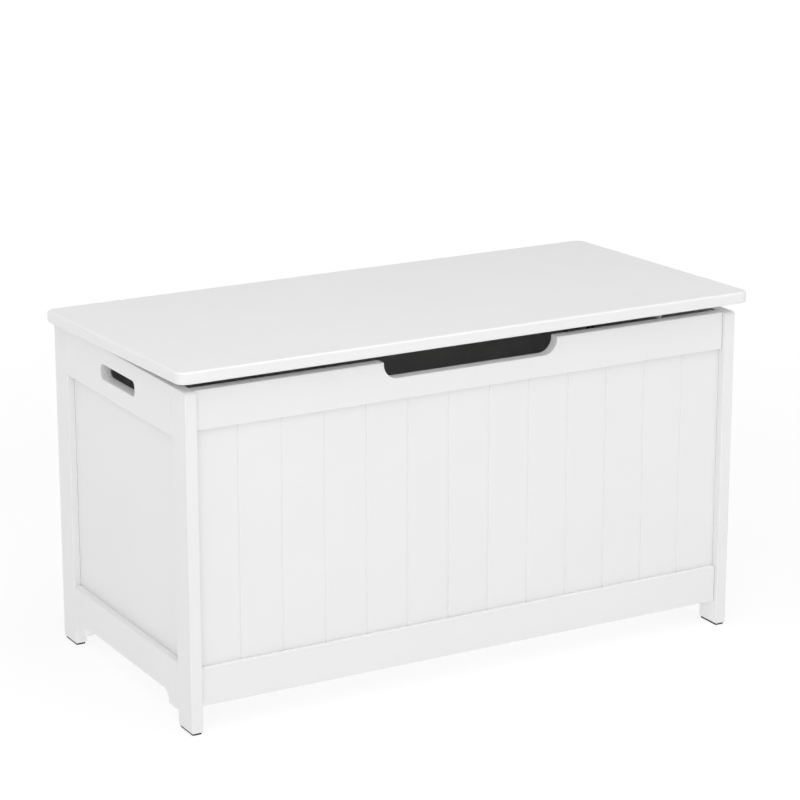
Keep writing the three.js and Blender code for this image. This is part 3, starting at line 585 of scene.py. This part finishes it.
def black_plastic():
    """Moulded black plastic with a fine spark texture."""
    n = Nodes("moulded_black_plastic")
    place = n.place()
    grain = n.noise(place, scale=2600.0, detail=2.0)
    n.link(n.mix(grain, PLASTIC_DARK, PLASTIC_LIGHT), "Base Color")
    n.link(n.spread(n.noise(place, scale=500.0), *PLASTIC_ROUGHNESS), "Roughness")
    n.link(n.bump(grain, PLASTIC_GRAIN), "Normal")
    return n.material


def rubber():
    """Matt black rubber, a little dusty."""
    n = Nodes("matt_black_rubber")
    place = n.place()
    dust = n.noise(place, scale=350.0, detail=5.0, roughness=0.65)
    settled = n.spread(dust, 0.0, 1.0, start=0.5, end=0.8)
    n.link(n.mix(settled, RUBBER_BLACK, RUBBER_DUST), "Base Color")
    n.link(n.spread(dust, *RUBBER_ROUGHNESS), "Roughness")
    n.link(n.bump(n.noise(place, scale=2200.0, detail=2.0), RUBBER_GRAIN), "Normal")
    return n.material


def clear_rubber():
    """A soft translucent button."""
    n = Nodes("clear_rubber")
    place = n.place()
    cloud = n.noise(place, scale=400.0)
    n.link(n.mix(cloud, CLEAR_DARK, CLEAR_LIGHT), "Base Color")
    n.link(n.spread(n.noise(place, scale=900.0), *CLEAR_ROUGHNESS), "Roughness")
    n.shader.inputs["Subsurface Weight"].default_value = CLEAR_SCATTER
    n.shader.inputs["Subsurface Scale"].default_value = CLEAR_SCATTER_DEPTH
    return n.material


PAINT = paint()
ZINC = zinc()
BLACK_STEEL = powder_coat()
BLACK_PLASTIC = black_plastic()
RUBBER = rubber()
CLEAR_RUBBER = clear_rubber()


def painted(name, mesh, body="box"):
    """Shows a painted mesh in place of the CAD node of that name."""
    piece(name + "_painted", mesh, body, name, PAINT)


def coated(name, mesh, body):
    """Shows a powder coated mesh in place of the CAD node of that name."""
    piece(name + "_coated", mesh, body, name, BLACK_STEEL)


def plated(name, finish, mesh, body):
    """Shows a zinc plated mesh in place of the CAD node of that name."""
    piece(f"{name}_{finish}", mesh, body, name, ZINC)


# ---- Side frames ---------------------------------------------------------------------------


def box_between(x, y, z):
    """A plain box that cuts a rabbet or pocket, from (low, high) along each axis."""
    return slab("z", [rectangle(x[0], y[0], x[1], y[1])], z[0], z[1])


def side_rabbet(side, y, z):
    """The step that a side panel sits in, cut into a frame member from its inner face."""
    low, high = span(f"{SIDE_NAMES[side]}_panel", "x")
    if side < 0:
        return box_between((low - GAP, high + CUT_MARGIN), y, z)
    return box_between((low - CUT_MARGIN, high + GAP), y, z)


def make_post(side_name, side, end_name, end):
    """A corner post with a rounded outer top corner and a step for the side panel."""
    name = f"{side_name}_{end_name}_post"
    y0, y1 = span(name, "y")
    z0, z1 = span(name, "z")
    corners = [(y0, z0), (y1, z0), (y1, z1), (y0, z1)]
    outer_top = 2 if end > 0 else 3
    corners[outer_top] += (POST_TOP_RADIUS,)
    board = slab("x", [rounded(corners, BOARD_CORNER_STEPS)], *span(name, "x"), EDGE_EASE)
    if end > 0:
        panel_y = (y0 - CUT_MARGIN, y0 + PANEL_LAP)
    else:
        panel_y = (y1 - PANEL_LAP, y1 + CUT_MARGIN)
    panel_z = (RAIL_TOP - PANEL_LAP, span(f"{side_name}_top_rail", "z")[0] + PANEL_LAP)
    painted(name, cut(board, [side_rabbet(side, panel_y, panel_z)]))


def screw_pocket():
    """The countersunk hole for a screw whose head's face is at z = 0."""
    head = SCREW_HEAD_RADIUS + SCREW_CLEARANCE
    shank = SCREW_RADIUS + SCREW_CLEARANCE
    neck = SCREW_RIM + SCREW_HEAD_RADIUS - SCREW_RADIUS + SCREW_CLEARANCE
    tip = SCREW_LENGTH + SCREW_CLEARANCE
    rim = SCREW_RIM + SCREW_CLEARANCE
    above = 2 * head
    corners = [(0, -tip), (shank, -tip), (shank, -neck), (head, -rim), (head, above), (0, above)]
    return lathe([Vector(c) for c in corners], POCKET_STEPS)


def stud_place(side):
    """From a solid about +Z at the side frame's inner face, inwards, to the stay's stud."""
    stud = middle(f"{SIDE_NAMES[side]}_stay_base")
    return Matrix.Translation((side * INSIDE_X, stud.y, stud.z)) @ along_x(-side)


def stay_screw_places(side):
    """Where the screws of a stay's base go, heads at the plate's face."""
    face = Matrix.Translation((0, 0, GAP + STAY_PLATE))
    return [
        Matrix.Translation((0, y, 0)) @ stud_place(side) @ face
        for y in (-STAY_SCREW_SPACING / 2, STAY_SCREW_SPACING / 2)
    ]


def make_side_top_rail(side_name, side):
    """A top rail with a handle slot, a step for the panel and holes for the stay's screws."""
    name = f"{side_name}_top_rail"
    y0, y1 = span(name, "y")
    z0, z1 = span(name, "z")
    centre = (y0 + y1) / 2
    slot_top = z1 - SLOT_DROP
    slot = rectangle(
        centre - SLOT_LENGTH / 2, slot_top - SLOT_HEIGHT, centre + SLOT_LENGTH / 2, slot_top,
        SLOT_RADIUS, BOARD_CORNER_STEPS,
    )
    board = slab("x", [rectangle(y0, z0, y1, z1), slot], *span(name, "x"), EDGE_EASE)
    rabbet = side_rabbet(side, (y0 - BOARD, y1 + BOARD), (z0 - CUT_MARGIN, z0 + PANEL_LAP))
    pockets = [moved(screw_pocket(), place) for place in stay_screw_places(side)]
    painted(name, cut(board, [rabbet] + pockets))


def make_side_bottom_rail(side_name, side):
    """A bottom rail arched between two brackets, with a step for the panel."""
    name = f"{side_name}_bottom_rail"
    y0, y1 = span(name, "y")
    z0, z1 = span(name, "z")
    arch = z0 + ARCH_RISE
    outline = rounded([
        (y0, z1), (y0, z0),
        (y0 + BRACKET_LENGTH, z0, BRACKET_CORNER), (y0 + BRACKET_LENGTH, arch, ARCH_RADIUS),
        (y1 - BRACKET_LENGTH, arch, ARCH_RADIUS), (y1 - BRACKET_LENGTH, z0, BRACKET_CORNER),
        (y1, z0), (y1, z1),
    ], BOARD_CORNER_STEPS)
    board = slab("x", [outline], *span(name, "x"), EDGE_EASE)
    rabbet = side_rabbet(side, (y0 - BOARD, y1 + BOARD), (z1 - PANEL_LAP, z1 + CUT_MARGIN))
    painted(name, cut(board, [rabbet]))


def plain_board(name, axis, ease=THIN_EASE):
    """A rectangular board as large as its CAD node."""
    across, upward = [a for a in "xyz" if a != axis]
    u0, u1 = span(name, across)
    v0, v1 = span(name, upward)
    return slab(axis, [rectangle(u0, v0, u1, v1)], *span(name, axis), ease)


def make_foot_pad(name):
    """A rubber pad under a post."""
    x0, x1 = span(name, "x")
    y0, y1 = span(name, "y")
    pad = slab("z", [rectangle(x0, y0, x1, y1, PAD_CORNER)], *span(name, "z"), PAD_EASE)
    piece(name + "_moulded", pad, "box", name, RUBBER)


for side_name, side in SIDES:
    for end_name, end in ENDS:
        make_post(side_name, side, end_name, end)
        make_foot_pad(f"{side_name}_{end_name}_foot_pad")
    make_side_top_rail(side_name, side)
    make_side_bottom_rail(side_name, side)
    painted(f"{side_name}_panel", plain_board(f"{side_name}_panel", "x"))

# ---- Front and back ------------------------------------------------------------------------


def leaf_pocket(side, above):
    """The pocket for a hinge leaf about the hinge axis: in the box (-1) or in the lid (1)."""
    x = LEAF_CENTRES[side]
    depth = above * (LID_UNDER + LEAF_THICKNESS + GAP)
    return box_between(
        (x - LEAF_HALF - GAP, x + LEAF_HALF + GAP),
        (-LEAF_REACH - GAP, BARREL_RADIUS),
        sorted((0, depth)),
    )


def leaf_screw_places(side, above):
    """Where the screws of a leaf go, about the hinge axis, heads at the leaf's face."""
    turn = Matrix.Rotation(math.pi if above > 0 else 0, 4, "X")
    centre = LEAF_CENTRES[side]
    return [
        Matrix.Translation((centre + x, -LEAF_SCREW_FORWARD, above * LID_UNDER)) @ turn
        for x in (-LEAF_SCREW_SPACING / 2, LEAF_SCREW_SPACING / 2)
    ]


def rail_rabbet(panel, x, z):
    """The step that a front or back panel sits in."""
    y0, y1 = span(panel, "y")
    y = (y0 - GAP, y1 + CUT_MARGIN) if y0 < 0 else (y0 - CUT_MARGIN, y1 + GAP)
    return box_between(x, y, z)


def make_front_top_rail():
    """The front top rail with its finger cut-out and a step for the panel."""
    name = "front_top_rail"
    x0, x1 = span(name, "x")
    z0, z1 = span(name, "z")
    half = CUTOUT_WIDTH / 2
    floor_z = z1 - CUTOUT_DEPTH
    outline = rounded([
        (x0, z0), (x1, z0), (x1, z1),
        (half, z1, CUTOUT_LIP), (half, floor_z, CUTOUT_RADIUS),
        (-half, floor_z, CUTOUT_RADIUS), (-half, z1, CUTOUT_LIP),
        (x0, z1),
    ], CUTOUT_STEPS)
    board = slab("y", [outline], *span(name, "y"), EDGE_EASE)
    rabbet_x = (x0 - BOARD, x1 + BOARD)
    rabbet = rail_rabbet("front_panel", rabbet_x, (z0 - CUT_MARGIN, z0 + PANEL_LAP))
    painted(name, cut(board, [rabbet]))


def make_bottom_rail(name, panel):
    """A front or back bottom rail with a step for its panel."""
    x0, x1 = span(name, "x")
    board = plain_board(name, "y", EDGE_EASE)
    rabbet_x = (x0 - BOARD, x1 + BOARD)
    rabbet = rail_rabbet(panel, rabbet_x, (RAIL_TOP - PANEL_LAP, RAIL_TOP + CUT_MARGIN))
    painted(name, cut(board, [rabbet]))


def make_front_panel():
    """One board cut into planks by V-grooves with softened lips."""
    name = "front_panel"
    x0, x1 = span(name, "x")
    face, back = span(name, "y")
    pitch = 2 * INSIDE_X / PLANKS
    corners = [(x0, back), (x0, face)]
    for plank in range(1, PLANKS):
        x = -INSIDE_X + plank * pitch
        corners += [
            (x - GROOVE_WIDTH / 2, face, GROOVE_LIP),
            (x, face + GROOVE_DEPTH, GROOVE_ROOT),
            (x + GROOVE_WIDTH / 2, face, GROOVE_LIP),
        ]
    corners += [(x1, face), (x1, back)]
    painted(name, slab("z", [rounded(corners, GROOVE_STEPS)], *span(name, "z")))


def make_back_top_rail():
    """The back top rail with pockets for the hinges and a step for the panel."""
    name = "back_top_rail"
    x0, x1 = span(name, "x")
    z0 = span(name, "z")[0]
    board = plain_board(name, "y", EDGE_EASE)
    rabbet_x = (x0 - BOARD, x1 + BOARD)
    tools = [rail_rabbet("back_panel", rabbet_x, (z0 - CUT_MARGIN, z0 + PANEL_LAP))]
    for _, side in SIDES:
        tools.append(moved(leaf_pocket(side, -1), HINGE_PLACE))
        for place in leaf_screw_places(side, -1):
            tools.append(moved(screw_pocket(), HINGE_PLACE @ place))
    painted(name, cut(board, tools))


make_front_top_rail()
make_front_panel()
make_bottom_rail("front_bottom_rail", "front_panel")
make_back_top_rail()
painted("back_panel", plain_board("back_panel", "y"))
make_bottom_rail("back_bottom_rail", "back_panel")
painted("floor_panel", plain_board("floor_panel", "z"))
for place_name, _ in ENDS + SIDES:
    batten = f"{place_name}_floor_batten"
    painted(batten, plain_board(batten, "z"))

# ---- Lid -----------------------------------------------------------------------------------


def bracket_screw_places(side):
    """Where the screws of a lid bracket go, in the lid's frame, heads at the flange's face."""
    side_name = SIDE_NAMES[side]
    bracket = LID_PLACE.inverted() @ middle(f"{side_name}_stay_rivet")
    flange_under = LID_UNDER - GAP - STAY_PLATE
    x = middle(f"{side_name}_stay_bracket_screw_1").x
    return [
        Matrix.Translation((x, bracket.y + y, flange_under)) @ Matrix.Rotation(math.pi, 4, "X")
        for y in (-FLANGE_SCREW_SPACING / 2, FLANGE_SCREW_SPACING / 2)
    ]


def make_lid_board():
    """The lid with rounded corners and edges, and pockets for the hinges and all its screws."""
    name = "lid_board"
    half = span(name, "x")[1]
    front = -LID_REAR - LID_DEPTH
    outline = rectangle(-half, front, half, -LID_REAR, LID_CORNER, LID_CORNER_STEPS)
    board = slab("z", [outline], LID_UNDER, LID_UNDER + BOARD, LID_EASE, LID_EDGE_STEPS)
    tools = []
    for _, side in SIDES:
        tools.append(leaf_pocket(side, 1))
        for place in leaf_screw_places(side, 1) + bracket_screw_places(side):
            tools.append(moved(screw_pocket(), place))
    painted(name, moved(cut(board, tools), LID_PLACE), "lid")


def make_bumper(name):
    """A flat-topped dome pressed under the lid."""
    centre = LID_PLACE.inverted() @ middle(name)
    top = LID_UNDER - GAP
    face = top - BUMPER_HEIGHT
    profile = rounded([
        (0, face), (BUMPER_RADIUS - BUMPER_SLOPE, face, BUMPER_DOME),
        (BUMPER_RADIUS, top - BUMPER_RIM, BUMPER_RIM_EASE), (BUMPER_RADIUS, top), (0, top),
    ], closed=False)
    button = moved(lathe(profile), LID_PLACE @ Matrix.Translation((centre.x, centre.y, 0)))
    piece(name + "_moulded", button, "lid", name, CLEAR_RUBBER)


make_lid_board()
for side_name, _ in SIDES:
    make_bumper(f"{side_name}_lid_bumper")

# ---- Screws --------------------------------------------------------------------------------


def screw_mesh():
    """A countersunk wood screw with a cross recess, its head's face at z = 0."""
    neck = SCREW_RIM + SCREW_HEAD_RADIUS - SCREW_RADIUS
    profile = rounded([
        (0, -SCREW_LENGTH), (SCREW_RADIUS, -SCREW_LENGTH + 2 * SCREW_RADIUS),
        (SCREW_RADIUS, -neck, SCREW_NECK_EASE), (SCREW_HEAD_RADIUS, -SCREW_RIM, SCREW_RIM_EASE),
        (SCREW_HEAD_RADIUS, 0, SCREW_RIM_EASE), (0, 0),
    ], SCREW_CORNER_STEPS, closed=False)
    top = RECESS_LENGTH / 2
    root = RECESS_FLOOR / 2
    wing = rounded([
        (-root, -RECESS_DEPTH), (root, -RECESS_DEPTH), (top, CUT_MARGIN), (-top, CUT_MARGIN),
    ])
    blades = []
    for turn in (0, math.pi / 2):
        blade = slab("y", [wing], -RECESS_WIDTH / 2, RECESS_WIDTH / 2)
        blades.append(moved(blade, Matrix.Rotation(turn, 4, "Z")))
    return cut(lathe(profile, SCREW_STEPS), blades)


def make_screws(screw, group, places, body, first_turn):
    """A row of screws, their recesses turned one after the other."""
    for index, place in enumerate(places):
        turn = Matrix.Rotation(first_turn + index * SCREW_TURN, 4, "Z")
        plated(f"{group}_{index + 1}", "driven", moved(screw.copy(), place @ turn), body)


def make_all_screws():
    """The screws of both hinges and both lid stays."""
    screw = screw_mesh()
    for side_name, side in SIDES:
        box_places = [HINGE_PLACE @ place for place in leaf_screw_places(side, -1)]
        lid_places = [LID_PLACE @ place for place in leaf_screw_places(side, 1)]
        bracket_places = [LID_PLACE @ place for place in bracket_screw_places(side)]
        groups = (
            ("hinge_box_screw", box_places, "box"),
            ("hinge_lid_screw", lid_places, "lid"),
            ("stay_base_screw", stay_screw_places(side), "box"),
            ("stay_bracket_screw", bracket_places, "lid"),
        )
        for group, places, body in groups:
            first_turn = side * FIRST_TURNS[group]
            make_screws(screw, f"{side_name}_{group}", places, body, first_turn)
    screw.free()


make_all_screws()

# ---- Hinges --------------------------------------------------------------------------------

# Each stretch of a hinge's axis, from the hinge's middle.
KNUCKLE_INNER = LEAF_HALF - KNUCKLE_SHARE * 2 * LEAF_HALF
MIDDLE_END = KNUCKLE_INNER - KNUCKLE_GAP
OUTER_KNUCKLES = [(-LEAF_HALF, -KNUCKLE_INNER), (KNUCKLE_INNER, LEAF_HALF)]
BESIDE_OUTER = [(-KNUCKLE_INNER, KNUCKLE_INNER)]
MIDDLE_KNUCKLE = [(-MIDDLE_END, MIDDLE_END)]
BESIDE_MIDDLE = [(-2 * LEAF_HALF, -MIDDLE_END), (MIDDLE_END, 2 * LEAF_HALF)]


def make_leaf(name, side, above, own, others, body, place):
    """A leaf about the hinge axis: a plate with rolled knuckles, countersunk for its screws."""
    x = LEAF_CENTRES[side]
    z0, z1 = sorted((above * LID_UNDER, above * (LID_UNDER + LEAF_THICKNESS)))
    outline = rounded([
        (x - LEAF_HALF, -LEAF_REACH, LEAF_CORNER), (x + LEAF_HALF, -LEAF_REACH, LEAF_CORNER),
        (x + LEAF_HALF, 0), (x - LEAF_HALF, 0),
    ])
    plate = slab("z", [outline], z0, z1, LEAF_EASE, METAL_EDGE_STEPS)

    def barrel(radius, stretch, ease=0.0):
        """A round bar on the hinge axis."""
        return moved(rod(radius, *stretch, ease), Matrix.Translation((x, 0, 0)) @ along_x(1))

    plate = cut(plate, [barrel(BARREL_RADIUS + KNUCKLE_GAP, stretch) for stretch in others])
    leaf = join(plate, [barrel(BARREL_RADIUS, stretch, KNUCKLE_EASE) for stretch in own])
    seam = box_between(
        (x - 2 * LEAF_HALF, x + 2 * LEAF_HALF),
        (-BARREL_RADIUS - CUT_MARGIN, 0),
        sorted((-above * BARREL_SLIT, 0)),
    )
    bore = barrel(PIN_BORE, (-2 * LEAF_HALF, 2 * LEAF_HALF))
    pockets = [moved(screw_pocket(), place) for place in leaf_screw_places(side, above)]
    leaf = cut(leaf, [bore, seam] + pockets)
    plated(name, "plated", moved(leaf, place), body)


def make_pin(name):
    """A hinge pin with a small domed head at each end."""
    x0, x1 = span(name, "x")
    half = (x1 - x0) / 2
    shank = half - PIN_HEAD
    profile = rounded([
        (0, -half), (PIN_HEAD_RADIUS, -half, PIN_HEAD_EASE), (PIN_HEAD_RADIUS, -shank),
        (PIN_RADIUS, -shank), (PIN_RADIUS, shank),
        (PIN_HEAD_RADIUS, shank), (PIN_HEAD_RADIUS, half, PIN_HEAD_EASE), (0, half),
    ], PIN_HEAD_STEPS, closed=False)
    place = Matrix.Translation(middle(name)) @ along_x(1)
    plated(name, "turned", moved(lathe(profile), place), "box")


for side_name, side in SIDES:
    box_leaf = f"{side_name}_hinge_box_leaf"
    lid_leaf = f"{side_name}_hinge_lid_leaf"
    make_leaf(box_leaf, side, -1, OUTER_KNUCKLES, BESIDE_OUTER, "box", HINGE_PLACE)
    make_leaf(lid_leaf, side, 1, MIDDLE_KNUCKLE, BESIDE_MIDDLE, "lid", LID_PLACE)
    make_pin(f"{side_name}_hinge_pin")

# ---- Lid stays -----------------------------------------------------------------------------


def threaded(radius, start, end):
    """A threaded stud about +Z: fine V-shaped rings and a bevelled end."""
    root = radius - THREAD_DEPTH
    slope = THREAD_PITCH / 8
    profile = [(0, start), (radius, start)]
    for turn in range(1, int((end - start) / THREAD_PITCH)):
        z = start + turn * THREAD_PITCH
        profile += [(radius, z - slope), (root, z), (radius, z + slope)]
    profile += [(radius, end - THREAD_DEPTH), (root, end), (0, end)]
    return lathe([Vector(p) for p in profile], STUD_STEPS)


def make_stay_base(side_name, side):
    """A plate screwed to the side frame, with a boss and a threaded stud."""
    name = f"{side_name}_stay_base"
    y0, y1 = span(name, "y")
    z0, z1 = span(name, "z")
    outline = rectangle(y0, z0, y1, z1, STAY_CORNER, PLATE_CORNER_STEPS)
    outer = side * (INSIDE_X - GAP)
    inner = outer - side * STAY_PLATE
    plate = slab("x", [outline], outer, inner, STAY_EASE, METAL_EDGE_STEPS)
    root = GAP + STAY_PLATE / 2
    boss_face = GAP + STAY_PLATE + BOSS_HEIGHT
    stud_end = INSIDE_X - min(abs(x) for x in span(name, "x"))
    place = stud_place(side)
    boss = moved(rod(BOSS_RADIUS, root, boss_face, BOSS_EASE), place)
    stud = moved(threaded(STUD_RADIUS, root, stud_end), place)
    whole = join(plate, [boss, stud])
    whole = cut(whole, [moved(screw_pocket(), spot) for spot in stay_screw_places(side)])
    coated(name, whole, "box")


def make_stay_knob(side_name, side):
    """A lobed hand knob with a dished end, bored for the stud."""
    name = f"{side_name}_stay_knob"
    x0, x1 = sorted(abs(x) for x in span(name, "x"))
    z0, z1 = span(name, "z")
    face = INSIDE_X - x1
    end = INSIDE_X - x0
    radius = (z1 - z0) / 2
    steps = KNOB_LOBES * KNOB_LOBE_STEPS
    outline = []
    for k in range(steps):
        turn = 2 * math.pi * k / steps
        wave = radius - KNOB_LOBE_DEPTH * (1 - math.cos(KNOB_LOBES * turn)) / 2
        outline.append(Vector((wave * math.cos(turn), wave * math.sin(turn))))
    body = slab("z", [outline], face, end, KNOB_EASE, KNOB_EDGE_STEPS)
    bore = rod(KNOB_BORE, face - CUT_MARGIN, end - KNOB_END)
    dish = rod(KNOB_DISH_RADIUS, end - KNOB_DISH_DEPTH, end + 2 * CUT_MARGIN, KNOB_DISH_EASE)
    knob = moved(cut(body, [bore, dish]), stud_place(side))
    piece(name + "_moulded", knob, "box", name, BLACK_PLASTIC)


def make_stay_arm(side_name):
    """The slotted arm. Its line runs from the rivet through the stud."""
    name = f"{side_name}_stay_arm"
    pivot = Vector(JOINTS[f"{side_name}_stay_pivot"]["pos_m"])
    stud = middle(f"{side_name}_stay_base")
    reach_now = math.hypot(stud.y - pivot.y, stud.z - pivot.z)
    radius = math.hypot(HINGE.y - pivot.y, HINGE.z - pivot.z)
    low, high = JOINTS["lid_hinge"]["range_deg"]
    spread_now = 2 * math.asin(reach_now / (2 * radius))

    def reach(opening):
        """From the rivet to the stud with the lid turned so many degrees from rest."""
        return 2 * radius * math.sin((spread_now + math.radians(opening)) / 2)

    slot_start = reach(low) - ARM_SLOT_PLAY
    slot_end = reach(high) + ARM_SLOT_PLAY
    loops = [
        stadium(0, slot_end, ARM_WIDTH / 2),
        stadium(slot_start, slot_end, ARM_SLOT_RADIUS),
        circle(0, 0, RIVET_BORE),
    ]
    arm = slab("x", loops, *span(name, "x"), STAY_EASE, METAL_EDGE_STEPS)
    lean = math.atan2(stud.z - pivot.z, stud.y - pivot.y)
    place = Matrix.Translation((0, pivot.y, pivot.z)) @ Matrix.Rotation(lean, 4, "X")
    coated(name, moved(arm, place), f"{side_name}_arm")


def make_stay_bracket(side_name, side):
    """A flange under the lid with a tab that holds the rivet."""
    name = f"{side_name}_stay_lid_bracket"
    rivet = LID_PLACE.inverted() @ middle(f"{side_name}_stay_rivet")
    x0, x1 = span(name, "x")
    outer = side * max(abs(x0), abs(x1))
    top = LID_UNDER - GAP
    half = ARM_WIDTH / 2
    bottom = rivet.z - half
    tab_outline = rounded([
        (rivet.y - half, top), (rivet.y - half, bottom, TAB_RADIUS),
        (rivet.y + half, bottom, TAB_RADIUS), (rivet.y + half, top),
    ], TAB_STEPS)
    bore = circle(rivet.y, rivet.z, RIVET_BORE)
    inner = outer - side * STAY_PLATE
    tab = slab("x", [tab_outline, bore], outer, inner, STAY_EASE, METAL_EDGE_STEPS)
    y0 = rivet.y - FLANGE_LENGTH / 2
    y1 = rivet.y + FLANGE_LENGTH / 2
    flange_outline = rectangle(x0, y0, x1, y1, FLANGE_CORNER)
    flange = slab("z", [flange_outline], top - STAY_PLATE, top, STAY_EASE, METAL_EDGE_STEPS)
    whole = join(flange, [tab])
    whole = cut(whole, [moved(screw_pocket(), place) for place in bracket_screw_places(side)])
    coated(name, moved(whole, LID_PLACE), "lid")


def make_stay_rivet(side_name):
    """A rivet with two domed heads."""
    name = f"{side_name}_stay_rivet"
    x0, x1 = span(name, "x")
    half = (x1 - x0) / 2
    shank = half - RIVET_HEAD
    profile = rounded([
        (0, -half), (RIVET_HEAD_RADIUS, -half, RIVET_DOME), (RIVET_HEAD_RADIUS, -shank),
        (RIVET_RADIUS, -shank), (RIVET_RADIUS, shank),
        (RIVET_HEAD_RADIUS, shank), (RIVET_HEAD_RADIUS, half, RIVET_DOME), (0, half),
    ], RIVET_DOME_STEPS, closed=False)
    place = Matrix.Translation(middle(name)) @ along_x(1)
    plated(name, "domed", moved(lathe(profile), place), "lid")


for side_name, side in SIDES:
    make_stay_base(side_name, side)
    make_stay_knob(side_name, side)
    make_stay_arm(side_name)
    make_stay_bracket(side_name, side)
    make_stay_rivet(side_name)

# ---- Studio --------------------------------------------------------------------------------

WHITE = (1, 1, 1, 1)
FLOOR_SIZE = 60.0
FLOOR_THICKNESS = 0.02
FLOOR_DARK = (0.2, 0.2, 0.2, 1)
FLOOR_LIGHT = (0.21, 0.21, 0.21, 1)
FLOOR_ROUGHNESS = 0.9
FLOOR_GLOW = 0.78
FAR_GLOW = 0.98
GLOW_RISE = (1.0, 4.5)  # metres from the object over which the floor's glow grows
WORLD_STRENGTH = 0.36
SOFTBOX_SIZE = 3.0
SOFTBOX_DISTANCE = 4.5
AIM = Vector((0, 0, 0.3))
# Name, degrees round from the front (to the left below zero), degrees up, watts.
SOFTBOXES = (
    ("key", -30, 25, 28),
    ("key_high", -30, 50, 26),
    ("side", -60, 25, 14),
    ("side_high", -100, 55, 30),
    ("front_high", 16, 45, 25),
    ("top", 45, 80, 72),
)
CAMERA_PLACE = Vector((-1.848, -3.270, 1.418))
CAMERA_YAW = math.radians(29.51)
CAMERA_DIP = math.radians(16.06)
CAMERA_LENS = 128.6
CAMERA_SENSOR = 36.0
CAMERA_NEAR = 0.1
CAMERA_FAR = 100.0


def make_floor():
    """A wide pale floor that glows more the farther it is from the object."""
    half = FLOOR_SIZE / 2
    ground = slab("z", [rectangle(-half, -half, half, half)], -FLOOR_THICKNESS, 0.0)
    made = solid(ground, "studio_floor")
    n = Nodes("pale_floor")
    place = n.add("ShaderNodeTexCoord").outputs["Object"]
    n.link(n.mix(n.noise(place, scale=3.0), FLOOR_DARK, FLOOR_LIGHT), "Base Color")
    n.shader.inputs["Roughness"].default_value = FLOOR_ROUGHNESS
    n.shader.inputs["Emission Color"].default_value = WHITE
    distance = n.add("ShaderNodeVectorMath", {0: place}, operation="LENGTH").outputs["Value"]
    n.link(n.spread(distance, FLOOR_GLOW, FAR_GLOW, *GLOW_RISE), "Emission Strength")
    made.data.materials.append(n.material)


def make_softbox(name, around, up, power):
    """A square lamp that faces the object."""
    raised = Matrix.Rotation(-math.radians(up), 3, "X") @ Vector((0, -1, 0))
    towards = Matrix.Rotation(math.radians(around), 3, "Z") @ raised
    light = bpy.data.lights.new(name, "AREA")
    light.size = SOFTBOX_SIZE
    light.energy = power
    made = bpy.data.objects.new(name, light)
    made.location = AIM + towards * SOFTBOX_DISTANCE
    made.rotation_mode = "QUATERNION"
    made.rotation_quaternion = towards.to_track_quat("Z", "Y")
    bpy.context.scene.collection.objects.link(made)


def make_world():
    """An even white surrounding."""
    world = bpy.data.worlds.new("studio")
    world.use_nodes = True
    background = world.node_tree.nodes["Background"]
    background.inputs["Color"].default_value = WHITE
    background.inputs["Strength"].default_value = WORLD_STRENGTH
    bpy.context.scene.world = world


def make_camera():
    """A long lens in front of the box, to its left and above it."""
    data = bpy.data.cameras.new("camera")
    data.sensor_width = CAMERA_SENSOR
    data.lens = CAMERA_LENS
    data.clip_start = CAMERA_NEAR
    data.clip_end = CAMERA_FAR
    made = bpy.data.objects.new("camera", data)
    made.location = CAMERA_PLACE
    made.rotation_euler = (math.pi / 2 - CAMERA_DIP, 0, -CAMERA_YAW)
    bpy.context.scene.collection.objects.link(made)
    bpy.context.scene.camera = made


make_floor()
make_world()
make_camera()
for softbox in SOFTBOXES:
    make_softbox(*softbox)
bpy.context.scene.view_settings.view_transform = "Standard"
